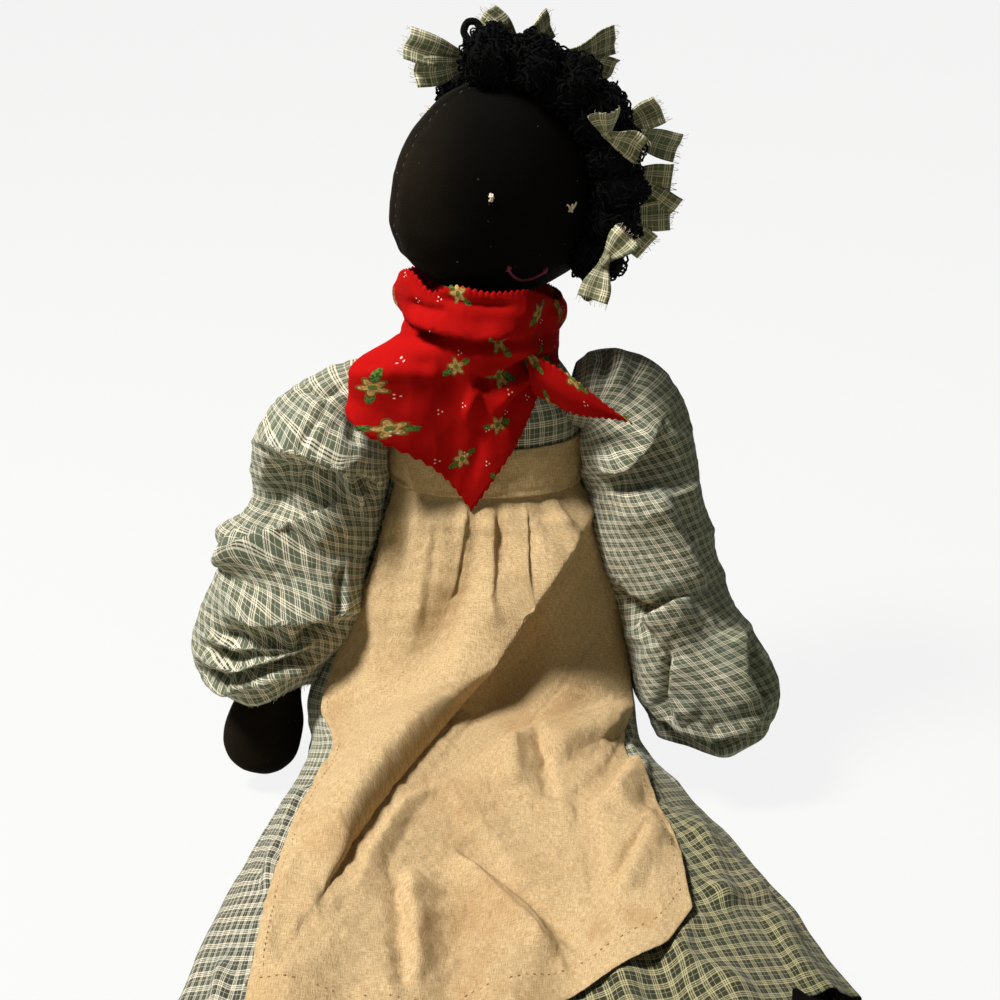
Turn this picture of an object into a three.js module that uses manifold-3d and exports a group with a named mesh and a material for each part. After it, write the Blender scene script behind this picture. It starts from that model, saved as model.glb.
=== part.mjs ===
// A primitive cloth doll, seated: stuffed black cotton body, checked dress, muslin apron,
// red kerchief and yarn hair tied with rag strips.
// Millimetres, +Z up. The doll faces -Y and its left hand is on +X. The origin is the middle
// of the face it rests on.
import * as THREE from "three";
import { mergeVertices } from "three/addons/utils/BufferGeometryUtils.js";
import Module from "manifold-3d";

const wasm = await Module();
wasm.setup();

// Cloth and seams
const SEAM_GAP = 0.4;
const CLOTH = 2;

// Stuffed torso with its neck
const TORSO_HALF_WIDTH = 60;
const TORSO_HALF_DEPTH = 43;
const SEAT_ROUNDING = 16;
const TORSO_HEIGHT = 268;
const NECK_RADIUS = 23;
const NECK_LENGTH = 56;

// Stuffed head
const HEAD_HALF_WIDTH = 66;
const HEAD_HALF_DEPTH = 46;
const HEAD_HALF_HEIGHT = 64;
const HEAD_FORWARD = 6;
const HEAD_ASIDE = 9;
const HEAD_TURN = 26;
const HEAD_TILT = 7;
const EYE_SPACING = 52;
const MOUTH_WIDTH = 28;

// Hair bunches
const HAIR_BUNCH = 20;
const HAIR_PITCH = 18.5;
const FRONT_BUNCHES = 8;
const BACK_BUNCHES = 5;
const RAG_WIDTH = 18;
const RAG_LENGTH = 30;

// Arms and sleeves
const ARM_LENGTH = 262;
const ARM_RADIUS = 17.5;
const SLEEVE_RADIUS = 42;
const RIGHT_CUFF_AT = 0.8;
const LEFT_CUFF_AT = 0.97;
const ARMHOLE_RADIUS = 24;

// Legs
const LEG_LENGTH = 430;
const LEG_RADIUS = 30;
const HIP_SPREAD = 41;
const LEFT_SPLAY = 21;
const RIGHT_SPLAY = 14;

// Dress, apron and kerchief
const WAIST_HEIGHT = 216;
const RIGHT_SKIRT_EASE = 15;
const LEFT_SKIRT_EASE = 3;
const SKIRT_REACH = 372;
const APRON_BAND_HEIGHT = 30;
const APRON_FALL = 0.94;
const APRON_SLANT = 0.15;
const KERCHIEF_POINT = 196;
const KERCHIEF_TOP = 333;

const bodyFloor = CLOTH + SEAM_GAP;
const vec = (x, y, z) => new THREE.Vector3(x, y, z);
const rad = THREE.MathUtils.degToRad;
const mix = THREE.MathUtils.lerp;
const soft = (from, to, at) => THREE.MathUtils.smoothstep(at, from, to);
const hump = (at, middle, spread) => Math.exp(-(((at - middle) / spread) ** 2));

// Smooth values between rows of [place, value, value ...]
function between(rows, place) {
  const last = rows.length - 1;
  if (place <= rows[0][0]) return rows[0].slice(1);
  if (place >= rows[last][0]) return rows[last].slice(1);
  const upper = rows.findIndex((row) => row[0] > place);
  const [a, b] = [rows[upper - 1], rows[upper]];
  const before = rows[Math.max(upper - 2, 0)];
  const after = rows[Math.min(upper + 1, last)];
  const span = b[0] - a[0];
  const t = (place - a[0]) / span;
  return a.slice(1).map((value, k) => {
    const next = b[k + 1];
    const slopeA = (span * (next - before[k + 1])) / (b[0] - before[0]);
    const slopeB = (span * (after[k + 1] - value)) / (after[0] - a[0]);
    const flat = Math.abs(next - value) < 1e-9;
    const rise = flat ? 0 : slopeA;
    const land = flat ? 0 : slopeB;
    return (
      value * (2 * t ** 3 - 3 * t ** 2 + 1) +
      rise * (t ** 3 - 2 * t ** 2 + t) +
      next * (3 * t ** 2 - 2 * t ** 3) +
      land * (t ** 3 - t ** 2)
    );
  });
}

// Closed solid from points and faces, turned to face outwards
function solidOf(points, faces) {
  const vertProperties = new Float32Array(points.flatMap((p) => [p.x, p.y, p.z]));
  const make = (triVerts) =>
    new wasm.Manifold(new wasm.Mesh({ numProp: 3, vertProperties, triVerts }));
  const made = make(new Uint32Array(faces.flat()));
  if (made.volume() > 0) return made;
  return make(new Uint32Array(faces.flatMap(([a, b, c]) => [a, c, b])));
}

function solidOfGeometry(geometry) {
  const bare = geometry.clone();
  bare.deleteAttribute("normal");
  bare.deleteAttribute("uv");
  const merged = mergeVertices(bare, 1e-3);
  const place = merged.getAttribute("position");
  const points = Array.from({ length: place.count }, (_, i) =>
    new THREE.Vector3().fromBufferAttribute(place, i));
  const faces = [];
  const index = merged.getIndex();
  for (let i = 0; i < index.count; i += 3) {
    const corner = [index.getX(i), index.getX(i + 1), index.getX(i + 2)];
    if (new Set(corner).size === 3) faces.push(corner);
  }
  return solidOf(points, faces);
}

// Skin between neighbouring rings of points
function skin(faces, first, second, count) {
  for (let i = 0; i < count; i += 1) {
    const next = (i + 1) % count;
    faces.push([first + i, first + next, second + next], [first + i, second + next, second + i]);
  }
}

// Stuffed form: rings closed at both ends
function stuffed(rings) {
  const count = rings[0].length;
  const points = rings.flat();
  const faces = [];
  for (let k = 0; k < rings.length - 1; k += 1) skin(faces, k * count, (k + 1) * count, count);
  for (const [ring, turned] of [[0, true], [rings.length - 1, false]]) {
    const middle = points.length;
    const sum = rings[ring].reduce((total, p) => total.add(p), vec(0, 0, 0));
    points.push(sum.divideScalar(count));
    for (let i = 0; i < count; i += 1) {
      const a = ring * count + i;
      const b = ring * count + ((i + 1) % count);
      faces.push(turned ? [middle, b, a] : [middle, a, b]);
    }
  }
  return solidOf(points, faces);
}

// Cloth tube with a wall: outer rings down, inner rings back up
function clothTube(outer, inner) {
  const rings = [...outer, ...inner.slice().reverse()];
  const count = outer[0].length;
  const faces = [];
  rings.forEach((_, k) => skin(faces, k * count, ((k + 1) % rings.length) * count, count));
  return solidOf(rings.flat(), faces);
}

// Flat cloth: a grid of front points and a grid of back points, joined round the edge
function clothSheet(front, back) {
  const rows = front.length;
  const columns = front[0].length;
  const points = [...front.flat(), ...back.flat()];
  const offset = rows * columns;
  const at = (r, c) => r * columns + c;
  const faces = [];
  for (let r = 0; r < rows - 1; r += 1) {
    for (let c = 0; c < columns - 1; c += 1) {
      const [p, q, s, t] = [at(r, c), at(r, c + 1), at(r + 1, c + 1), at(r + 1, c)];
      faces.push([p, q, s], [p, s, t]);
      faces.push([p + offset, s + offset, q + offset], [p + offset, t + offset, s + offset]);
    }
  }
  const rim = [];
  for (let c = 0; c < columns - 1; c += 1) rim.push(at(0, c));
  for (let r = 0; r < rows - 1; r += 1) rim.push(at(r, columns - 1));
  for (let c = columns - 1; c > 0; c -= 1) rim.push(at(rows - 1, c));
  for (let r = rows - 1; r > 0; r -= 1) rim.push(at(r, 0));
  rim.forEach((a, i) => {
    const b = rim[(i + 1) % rim.length];
    faces.push([a, a + offset, b + offset], [a, b + offset, b]);
  });
  return solidOf(points, faces);
}

// What is left of a piece after its neighbours are cut away: the largest body
function cutBy(piece, ...neighbours) {
  let left = piece;
  for (const neighbour of neighbours) left = left.subtract(neighbour);
  const bodies = left.decompose();
  const largest = bodies.reduce((best, body) => (body.volume() > best.volume() ? body : best));
  return largest.simplify(SEAM_GAP / 3);
}

const ovalPoint = (angle, halfX, halfY, power) => {
  const bow = (value) => Math.sign(value) * Math.abs(value) ** (2 / power);
  return [halfX * bow(Math.sin(angle)), -halfY * bow(Math.cos(angle))];
};
const turns = (count) => Array.from({ length: count }, (_, i) => (i / count) * 2 * Math.PI);
const steps = (from, to, count) =>
  Array.from({ length: count + 1 }, (_, i) => mix(from, to, i / count));

// Torso sections: height, half width, half depth
const TORSO_POWER = 2.3;
const neckTop = TORSO_HEIGHT + NECK_LENGTH;
const torsoRows = [
  [bodyFloor, TORSO_HALF_WIDTH - SEAT_ROUNDING, TORSO_HALF_DEPTH - SEAT_ROUNDING],
  [bodyFloor + SEAT_ROUNDING * 0.4, TORSO_HALF_WIDTH - SEAT_ROUNDING * 0.3,
    TORSO_HALF_DEPTH - SEAT_ROUNDING * 0.3],
  [bodyFloor + SEAT_ROUNDING, TORSO_HALF_WIDTH, TORSO_HALF_DEPTH],
  [TORSO_HEIGHT * 0.45, TORSO_HALF_WIDTH - 1, TORSO_HALF_DEPTH],
  [TORSO_HEIGHT * 0.83, TORSO_HALF_WIDTH - 5, TORSO_HALF_DEPTH - 3],
  [TORSO_HEIGHT - 22, TORSO_HALF_WIDTH - 6, TORSO_HALF_DEPTH - 6],
  [TORSO_HEIGHT - 4, TORSO_HALF_WIDTH - 17, TORSO_HALF_DEPTH - 11],
  [TORSO_HEIGHT + 10, NECK_RADIUS + 6, NECK_RADIUS + 4],
  [TORSO_HEIGHT + 22, NECK_RADIUS, NECK_RADIUS],
  [neckTop, NECK_RADIUS, NECK_RADIUS],
];
function torsoRing(height, grow, sides = 20) {
  const [halfX, halfY] = between(torsoRows, height);
  const power = mix(TORSO_POWER, 2, soft(TORSO_HEIGHT - 10, TORSO_HEIGHT + 18, height));
  return turns(sides).map((angle) => {
    const [x, y] = ovalPoint(angle, halfX + grow, halfY + grow, power);
    return vec(x, y, height);
  });
}
function torsoForm(grow) {
  const heights = torsoRows.map((row) => row[0]);
  const middle = [TORSO_HEIGHT * 0.22, TORSO_HEIGHT * 0.64, TORSO_HEIGHT - 12, TORSO_HEIGHT + 3];
  const all = [...heights, ...middle].sort((a, b) => a - b);
  all[0] -= grow;
  all[all.length - 1] += grow;
  return stuffed(all.map((height) => torsoRing(height, grow)));
}
// Distance from the neck axis to the cloth on the torso, by direction
function torsoReach(turn, height, grow) {
  const [halfX, halfY] = between(torsoRows, height);
  const x = Math.abs(Math.sin(turn)) / (halfX + grow);
  const y = Math.abs(Math.cos(turn)) / (halfY + grow);
  return (x ** TORSO_POWER + y ** TORSO_POWER) ** (-1 / TORSO_POWER);
}

// Tube sections along a path: two half sizes at each station, with room for creases
function tubeRings(path, stations, side, sides, grow, crease = () => 0) {
  return stations.map(([t, wide, deep]) => {
    const at = Math.min(t, 1);
    const tangent = path.getTangentAt(at);
    const middle = path.getPointAt(at).addScaledVector(tangent, (t - at) * path.getLength());
    const forward = vec(0, 1, 0).addScaledVector(tangent, -tangent.y).normalize();
    const across = new THREE.Vector3().crossVectors(tangent, forward);
    return turns(sides).map((angle) => {
      const extra = grow + crease(t, angle);
      const p = middle.clone()
        .addScaledVector(forward, (deep + extra) * Math.cos(angle))
        .addScaledVector(across, (wide + extra) * Math.sin(angle));
      p.x *= side;
      return p;
    });
  });
}

// Arm path on the doll's left, from the shoulder seam to the fingertips
const shoulder = vec(TORSO_HALF_WIDTH + 12, -5, TORSO_HEIGHT);
const armRoot = vec(shoulder.x - 20, -5, shoulder.z - 19);
function pathOfArm(hang) {
  const bends = [[0, 0, 0], [18, -1, -4], [37, -6, -30], [47, -13, -68], [60, -24, -120],
    [79, -40, -180], [93, -57, -236]];
  return new THREE.CatmullRomCurve3(bends.map(([x, y, z]) =>
    armRoot.clone().addScaledVector(vec(x * hang, y, z), ARM_LENGTH / 262)), false, "centripetal");
}
const armPaths = { [-1]: pathOfArm(1.03), [1]: pathOfArm(0.95) };
const armRows = [
  [0, 0.8, 0.8], [0.1, 1, 1], [0.4, 1.04, 1.02], [0.68, 0.94, 0.92], [0.78, 0.95, 0.85],
  [0.86, 1.3, 0.92], [0.93, 1.42, 0.86], [0.98, 1.02, 0.62], [1, 0.5, 0.35],
];
function armForm(side, grow) {
  const stations = armRows.map(([t, wide, deep]) => [t, wide * ARM_RADIUS, deep * ARM_RADIUS]);
  return stuffed(tubeRings(armPaths[side], stations, side, 14, grow));
}
function sleeveForm(side, rows, crease) {
  const stations = steps(0, 1, 11).map((step) => {
    const t = mix(rows[0][0], rows[rows.length - 1][0], step);
    const [swell] = between(rows, t);
    return [t, swell, swell];
  });
  return stuffed(tubeRings(armPaths[side], stations, side, 16, 0, crease));
}

// Leg along -Y from the hip seam, toes up
const hipForward = TORSO_HALF_DEPTH - 1;
const hipHeight = bodyFloor + 8;
function legForm(grow) {
  const shin = LEG_LENGTH - 20;
  const rows = [
    [-5, 4.5, 0.88, 0.1], [3, 7, 0.95, 0.22], [18, 17.5, 1.06, 0.58],
    [shin * 0.18, LEG_RADIUS, 1.12, 1], [shin * 0.5, LEG_RADIUS * 0.95, 1.02, 0.95],
    [shin * 0.82, LEG_RADIUS * 0.84, 0.86, 0.84], [shin * 0.92, LEG_RADIUS * 0.8, 0.8, 0.8],
  ];
  const rings = rows.map(([y, middle, wide, deep]) =>
    turns(16).map((angle) => vec(
      (wide * LEG_RADIUS + grow) * Math.sin(angle), -y,
      bodyFloor + middle - (deep * LEG_RADIUS + grow) * Math.cos(angle))));
  const ankle = vec(0, -shin * 0.97, bodyFloor + LEG_RADIUS * 0.84);
  for (const [reach, wide, deep, lean] of [[4, 0.84, 0.82, 25], [20, 0.86, 0.78, 58],
    [42, 0.8, 0.66, 76], [62, 0.64, 0.46, 82], [70, 0.3, 0.2, 84]]) {
    const along = vec(0, -Math.cos(rad(lean)), Math.sin(rad(lean)));
    const across = vec(0, Math.sin(rad(lean)), Math.cos(rad(lean)));
    const middle = ankle.clone().addScaledVector(along, reach);
    rings.push(turns(16).map((angle) => middle.clone()
      .add(vec((wide * LEG_RADIUS + grow) * Math.sin(angle), 0, 0))
      .addScaledVector(across, -(deep * LEG_RADIUS + grow) * Math.cos(angle))));
  }
  return stuffed(rings);
}
const splayOf = (side) => rad(side > 0 ? LEFT_SPLAY : RIGHT_SPLAY);
const legTurn = (side) => new THREE.Matrix4()
  .makeTranslation(side * HIP_SPREAD, -hipForward, 0)
  .multiply(new THREE.Matrix4().makeRotationZ(side * splayOf(side)));
const legMiddle = (side, y) => HIP_SPREAD + Math.max(-y - hipForward, 0) * Math.tan(splayOf(side));

// Skirt: a tube caught at the waist that bends forward over the legs
const waistX = between(torsoRows, WAIST_HEIGHT)[0] + SEAM_GAP + CLOTH;
const waistY = between(torsoRows, WAIST_HEIGHT)[1] + SEAM_GAP + CLOTH;
const bandBottom = WAIST_HEIGHT + 10 - APRON_BAND_HEIGHT;
const bandX = between(torsoRows, bandBottom)[0] + SEAM_GAP + CLOTH;
const bandY = between(torsoRows, bandBottom)[1] + SEAM_GAP + CLOTH;
const easeOf = (side) => (side > 0 ? LEFT_SKIRT_EASE : RIGHT_SKIRT_EASE);
const outside = (side, y) => legMiddle(side, y) + LEG_RADIUS + easeOf(side) * soft(60, 280, -y);
const hemReach = (share) => [-1, 1].map((side) => outside(side, -SKIRT_REACH * share));
const lapTop = bodyFloor + 2 * LEG_RADIUS + CLOTH + 6;
// Station, front y and z, back y and z, reach to the doll's right and left
const skirtRows = [
  [0, -waistY, WAIST_HEIGHT - SEAM_GAP, waistY, WAIST_HEIGHT - SEAM_GAP, waistX, waistX],
  [0.07, -bandY, bandBottom - 2, bandY, bandBottom - 2, bandX, bandX],
  [0.18, -waistY - 17, WAIST_HEIGHT * 0.7, waistY + 5, WAIST_HEIGHT * 0.62, waistX + 11, waistX + 11],
  [0.3, -waistY - 34, WAIST_HEIGHT * 0.48, waistY + 10, WAIST_HEIGHT * 0.27, waistX + 21, waistX + 21],
  [0.4, -waistY - 58, lapTop + 10, waistY + 10, 16, waistX + 28, waistX + 28],
  [0.5, -SKIRT_REACH * 0.345, lapTop + 2, waistY - 22, -7, ...hemReach(0.3)],
  [0.66, -SKIRT_REACH * 0.54, lapTop + 2, -SKIRT_REACH * 0.2, -8, ...hemReach(0.48)],
  [0.83, -SKIRT_REACH * 0.76, lapTop, -SKIRT_REACH * 0.55, -8, ...hemReach(0.71)],
  [1, -SKIRT_REACH, lapTop - 7, -SKIRT_REACH + 8, -8, ...hemReach(0.93)],
];
const legGap = (y) => {
  const left = legMiddle(1, y) - LEG_RADIUS;
  const right = -legMiddle(-1, y) + LEG_RADIUS;
  return { middle: (left + right) / 2, half: Math.max((left - right) / 2, 4) };
};
function skirtPoint(upper, v, xi) {
  const [frontY, frontZ, backY, backZ, reachRight, reachLeft] = between(skirtRows, v);
  const x = mix(-reachRight, reachLeft, (xi + 1) / 2);
  const over = soft(0.3, 0.55, v);
  const power = mix(TORSO_POWER, upper ? 3.4 : 4, over);
  const lift = Math.max(1 - Math.abs(xi) ** power, 0) ** (1 / power) * (upper ? 1 : -1);
  const p = vec(x, mix(backY, frontY, (lift + 1) / 2), mix(backZ, frontZ, (lift + 1) / 2));
  p.y += over * v * v * (0.0011 * x * x + 0.16 * Math.min(x, 0));
  if (upper) {
    const gap = legGap(p.y);
    p.z -= 26 * soft(0.5, 0.85, v) * hump(x, gap.middle, gap.half * 0.9);
    p.z += 2.5 * soft(0.6, 1, v) * (1 + Math.sin(x / 9)) * lift;
  }
  const gathers = 2.6 * soft(0.09, 0.25, v) * (1 - soft(0.34, 0.46, v));
  p.y += (upper ? -1 : 1) * gathers * (1 + Math.cos(xi * 13)) * Math.abs(lift);
  p.z = Math.max(p.z, 0);
  return p;
}
function skirtNormal(upper, v, xi) {
  const nudge = 0.012;
  const along = skirtPoint(upper, Math.min(v + nudge, 1), xi)
    .sub(skirtPoint(upper, Math.max(v - nudge, 0), xi));
  const across = skirtPoint(upper, v, Math.min(xi + nudge, 0.999))
    .sub(skirtPoint(upper, v, Math.max(xi - nudge, -0.999)));
  const normal = new THREE.Vector3().crossVectors(along, across).normalize();
  return upper ? normal : normal.negate();
}
function skirtOffset(upper, v, xi, lift) {
  const p = skirtPoint(upper, v, xi).addScaledVector(skirtNormal(upper, v, xi), lift);
  p.z = Math.max(p.z, lift < 0 ? -lift : 0);
  return p;
}
// Cloth lying on the skirt, between two edges given as shares of its half width
function onSkirt(upper, from, to, rows, columns, edges, lift, grow = 0) {
  const grid = (extra) => steps(0, 1, rows).map((share) => {
    const [left, right] = edges(mix(from, to(0), share));
    return steps(left - grow / 60, right + grow / 60, columns).map((xi) => {
      const v = mix(from, to(xi), share);
      return skirtOffset(upper, v, xi, lift(v, xi) + extra);
    });
  });
  return clothSheet(grid(CLOTH + grow), grid(-grow));
}

// Head in its own frame, wider at the cheeks than at the crown
const headRows = [
  [-1, 0.2, 0.2], [-0.94, 0.44, 0.44], [-0.78, 0.74, 0.7], [-0.5, 0.96, 0.93], [-0.12, 1, 1],
  [0.22, 0.96, 0.98], [0.55, 0.8, 0.84], [0.8, 0.56, 0.62], [0.95, 0.28, 0.34], [1, 0.12, 0.15],
];
function headForm(grow) {
  return stuffed(headRows.map(([level, wide, deep]) => turns(24).map((angle) => {
    const [x, y] = ovalPoint(angle, wide * HEAD_HALF_WIDTH + grow, deep * HEAD_HALF_DEPTH + grow, 2);
    return vec(x, y, level * (HEAD_HALF_HEIGHT + grow));
  })));
}
const onFace = (x, z, out) => {
  const [wide, deep] = between(headRows, z / HEAD_HALF_HEIGHT);
  const across = Math.min(Math.abs(x) / (wide * HEAD_HALF_WIDTH), 0.99);
  return vec(x, -deep * HEAD_HALF_DEPTH * Math.sqrt(1 - across ** 2) - out, z);
};

const headGroup = new THREE.Group();
headGroup.name = "head_group";
headGroup.position.set(HEAD_ASIDE, -HEAD_FORWARD, neckTop + HEAD_HALF_HEIGHT - 9);
headGroup.rotation.set(0, rad(HEAD_TILT), rad(HEAD_TURN), "YZX");
headGroup.updateMatrix();
const intoHead = headGroup.matrix.clone().invert();
const toHead = (piece) => piece.transform(intoHead.elements);

// Direction out of the head for a hair bunch: sideways from the crown, then leaned back
function hairDirection(sideways, back) {
  const turn = rad(sideways);
  const lean = rad(back);
  const world = vec(Math.sin(turn), Math.sin(lean), Math.cos(turn) * Math.cos(lean));
  return world.normalize().transformDirection(intoHead);
}
function headReach(direction) {
  const scaled = vec(direction.x / HEAD_HALF_WIDTH, direction.y / HEAD_HALF_DEPTH,
    direction.z / HEAD_HALF_HEIGHT);
  return 1 / scaled.length();
}
const bunches = [];
for (let i = 0; i < FRONT_BUNCHES; i += 1) {
  bunches.push({ sideways: -4 + i * HAIR_PITCH, back: -9, size: i ? 1 - 0.03 * Math.max(i - 3, 0) : 0.88 });
}
for (let i = 0; i < BACK_BUNCHES; i += 1) {
  bunches.push({ sideways: -16 + i * 32, back: 46, size: 1.2 });
}
function bunchForm({ sideways, back, size }, index, grow) {
  const direction = hairDirection(sideways, back);
  const middle = direction.clone().multiplyScalar(headReach(direction) + HAIR_BUNCH * 0.62);
  const ball = new THREE.SphereGeometry(1, 10, 6);
  const place = ball.getAttribute("position");
  for (let i = 0; i < place.count; i += 1) {
    const p = new THREE.Vector3().fromBufferAttribute(place, i);
    const lumps = 0.09 * Math.sin(5 * p.x + index) * Math.cos(4 * p.y + 2 * index) * (1 - p.z ** 2);
    p.multiplyScalar(HAIR_BUNCH * size * (1 + lumps) + grow);
    place.setXYZ(i, p.x, p.y, p.z * 0.95);
  }
  const solid = solidOfGeometry(ball).translate([middle.x, middle.y, middle.z]);
  return { solid, direction, middle, size };
}

// Rag strip knotted beside a bunch: each end has its swing from the bunch and its length
const ragEnds = [
  [[-74, 1.5], [-35, 0.9]], [[-62, 0.85], [58, 0.8]], [[34, 1.25], [66, 1.3]],
  [[-60, 0.6], [64, 0.7]], [[-28, 1.15], [16, 1.5]], [[38, 1.3], [8, 1]],
  [[-20, 1.1], [24, 0.9]], [[48, 0.95], [-8, 0.6]],
];
// Behind the bunch or in front of it, and how far out the knot sits
const ragSides = [1, 1, 1, -1, 1, 1, 1, -1];
const ragRise = [-8, 3, 0, 3, 0, 0, 0, 3];
function ragForm(bunch, index, grow) {
  const up = bunch.direction;
  const sideways = new THREE.Vector3().crossVectors(up, vec(0, 1, 0)).normalize();
  const facing = new THREE.Vector3().crossVectors(sideways, up);
  const toFront = index < FRONT_BUNCHES ? ragSides[index % ragSides.length] : 1;
  const knotAt = bunch.middle.clone()
    .addScaledVector(facing, toFront * (HAIR_BUNCH * bunch.size + 3))
    .addScaledVector(up, index < FRONT_BUNCHES ? ragRise[index % ragRise.length] : 3);
  const knot = new THREE.SphereGeometry(5.5 + grow, 7, 4);
  let rag = solidOfGeometry(knot).translate([knotAt.x, knotAt.y, knotAt.z]);
  const ends = index < FRONT_BUNCHES ? index : index + 3;
  for (const [swing, length] of ragEnds[ends % ragEnds.length]) {
    const along = up.clone().applyAxisAngle(facing, rad(swing));
    const across = new THREE.Vector3().crossVectors(along, facing);
    const grid = (depth) => steps(0, 1, 3).map((t) => steps(-0.5, 0.5, 2).map((w) => {
      const spread = RAG_WIDTH * mix(0.34, 1, soft(0, 0.8, t)) + 2 * grow;
      const curl = toFront * (6 * t * t - 6 * w * w * t);
      return knotAt.clone()
        .addScaledVector(along, t * (RAG_LENGTH * length + grow))
        .addScaledVector(across, w * spread)
        .addScaledVector(facing, curl + depth);
    }));
    rag = rag.add(clothSheet(grid(CLOTH * 0.5 + grow), grid(-CLOTH * 0.5 - grow)));
  }
  return rag;
}

// Kerchief: a cape round the neck, its point in front and a lobe over the right shoulder
const kerchiefTurns = 30;
function kerchiefTop(turn) {
  const leftFall = 26 * soft(0.1, 1.5, turn);
  const rightFall = 16 * soft(0.9, 1.8, -turn);
  return KERCHIEF_TOP - leftFall - rightFall - 9 * hump(turn, -0.62, 0.2);
}
function kerchiefEdge(turn) {
  const pointed = (TORSO_HEIGHT - KERCHIEF_POINT + 2) * hump(turn, -0.16, 0.62);
  return TORSO_HEIGHT + 2 - pointed - 4 * hump(turn, -1.05, 0.3) - 8 * hump(Math.abs(turn), Math.PI, 0.7);
}
function kerchiefRings(out) {
  return steps(0, 1, 7).map((t) => turns(kerchiefTurns).map((angle) => {
    const turn = angle > Math.PI ? angle - 2 * Math.PI : angle;
    const top = kerchiefTop(turn);
    const height = mix(top, kerchiefEdge(turn), t ** 1.25);
    const layers = 2 * (SEAM_GAP + CLOTH) + SEAM_GAP * 2;
    const onBody = torsoReach(turn, height, layers) + 1;
    const roll = NECK_RADIUS + 26 + 6 * Math.sin(Math.PI * Math.min(t * 1.6 + 0.1, 1));
    const lobe = 34 * hump(turn, -1.02, turn < -1.02 ? 0.2 : 0.4) * soft(0.1, 0.5, t);
    const reach = Math.max(onBody, roll) + lobe + out;
    return vec(reach * Math.sin(turn), -reach * Math.cos(turn), height);
  }));
}
function kerchiefTail() {
  const root = vec(26, -TORSO_HALF_DEPTH - 1, TORSO_HEIGHT + 8);
  const tip = vec(TORSO_HALF_WIDTH + 26, -TORSO_HALF_DEPTH - 7, TORSO_HEIGHT - 20);
  const along = tip.clone().sub(root);
  const grid = (depth) => steps(0, 1, 6).map((t) => steps(-0.5, 0.5, 2).map((w) =>
    root.clone().addScaledVector(along, t)
      .add(vec(w * -4, -3 * Math.sin(Math.PI * t) - depth, w * mix(26, 4, t)))));
  return clothSheet(grid(CLOTH), grid(0));
}

// Pieces
const group = new THREE.Group();
group.name = "primitive_cloth_doll";
function material(colour, roughness) {
  return new THREE.MeshStandardMaterial({ color: colour, roughness, metalness: 0 });
}
const blackCotton = () => material(0x0b0a08, 0.95);
const checkedCotton = () => material(0x8a8768, 0.95);
const muslin = () => material(0xb08d5c, 0.95);
const redCotton = () => material(0x9a1f14, 0.95);
const blackYarn = () => material(0x060606, 1);
const creamThread = () => material(0xd9cbb0, 0.9);
const redThread = () => material(0x6e1420, 0.9);
function put(parent, name, piece, look) {
  const mesh = piece.getMesh();
  const geometry = new THREE.BufferGeometry();
  geometry.setAttribute("position", new THREE.Float32BufferAttribute(mesh.vertProperties, 3));
  geometry.setIndex(new THREE.Uint32BufferAttribute(mesh.triVerts, 1));
  geometry.computeVertexNormals();
  const made = new THREE.Mesh(geometry, look);
  made.name = name;
  parent.add(made);
}

// Torso and dress bodice
const torso = torsoForm(0);
put(group, "torso", torso, blackCotton());
const bodiceHeights = [...steps(WAIST_HEIGHT, TORSO_HEIGHT - 4, 5), TORSO_HEIGHT + 6, TORSO_HEIGHT + 12];
let bodice = stuffed(bodiceHeights.map((height) => torsoRing(height, SEAM_GAP + CLOTH)));
const armhole = new THREE.CylinderGeometry(ARMHOLE_RADIUS - 3, ARMHOLE_RADIUS - 3, 4 * TORSO_HALF_WIDTH, 16);
armhole.rotateZ(Math.PI / 2);
armhole.translate(0, armRoot.y, armRoot.z - 1);
bodice = cutBy(bodice, torsoForm(SEAM_GAP), solidOfGeometry(armhole));
put(group, "dress_bodice", bodice, checkedCotton());

// Legs
for (const [name, side] of [["right_leg", -1], ["left_leg", 1]]) {
  const legGroup = new THREE.Group();
  legGroup.name = `${name}_group`;
  legGroup.applyMatrix4(legTurn(side));
  const torsoHere = torsoForm(SEAM_GAP).transform(legTurn(side).invert().elements);
  put(legGroup, name, cutBy(legForm(0), torsoHere), blackCotton());
  group.add(legGroup);
}
const legRoom = [-1, 1].map((side) => legForm(SEAM_GAP).transform(legTurn(side).elements));

// Skirt
const skirtStations = [0, 0.07, ...steps(0.13, 1, 13)];
const skirtAround = [
  ...steps(0, Math.PI, 20).map((angle) => [true, -Math.cos(angle)]),
  ...steps(0, Math.PI, 11).slice(1, -1).map((angle) => [false, Math.cos(angle)]),
];
const skirtRings = (lift) => skirtStations.map((v) =>
  skirtAround.map(([upper, xi]) => skirtOffset(upper, v, xi * 0.9995, lift)));
const skirt = cutBy(clothTube(skirtRings(0), skirtRings(-CLOTH)), torsoForm(SEAM_GAP), ...legRoom);
put(group, "skirt", skirt, checkedCotton());
const skirtRoom = stuffed(skirtRings(SEAM_GAP));

// Apron: waistband, gathered panel and the strings tied behind
const bandHeights = steps(bandBottom, bandBottom + APRON_BAND_HEIGHT, 3);
const bandGrow = 2 * SEAM_GAP + CLOTH + 1;
const band = clothTube(
  bandHeights.map((height) => torsoRing(height, bandGrow + CLOTH)),
  bandHeights.map((height) => torsoRing(height, bandGrow)));
put(group, "apron_waistband", band, muslin());
const apronEdges = (v) => [mix(-0.93, -0.76, soft(0.45, 1, v)), mix(0.93, 0.62, soft(0.3, 1, v))];
const apronLift = (v, xi) => {
  const pleats = 2.2 * (1 - soft(0.08, 0.4, v)) * (1 + Math.cos(xi * 26));
  const ridge = mix(0.75, -0.8, soft(0.05, 0.95, v));
  return 2 + pleats + 11 * soft(0.1, 0.35, v) * hump(xi, ridge, 0.2) + 2 * soft(0.6, 0.9, v) * (1 + Math.sin(xi * 11 + v * 9));
};
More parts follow.
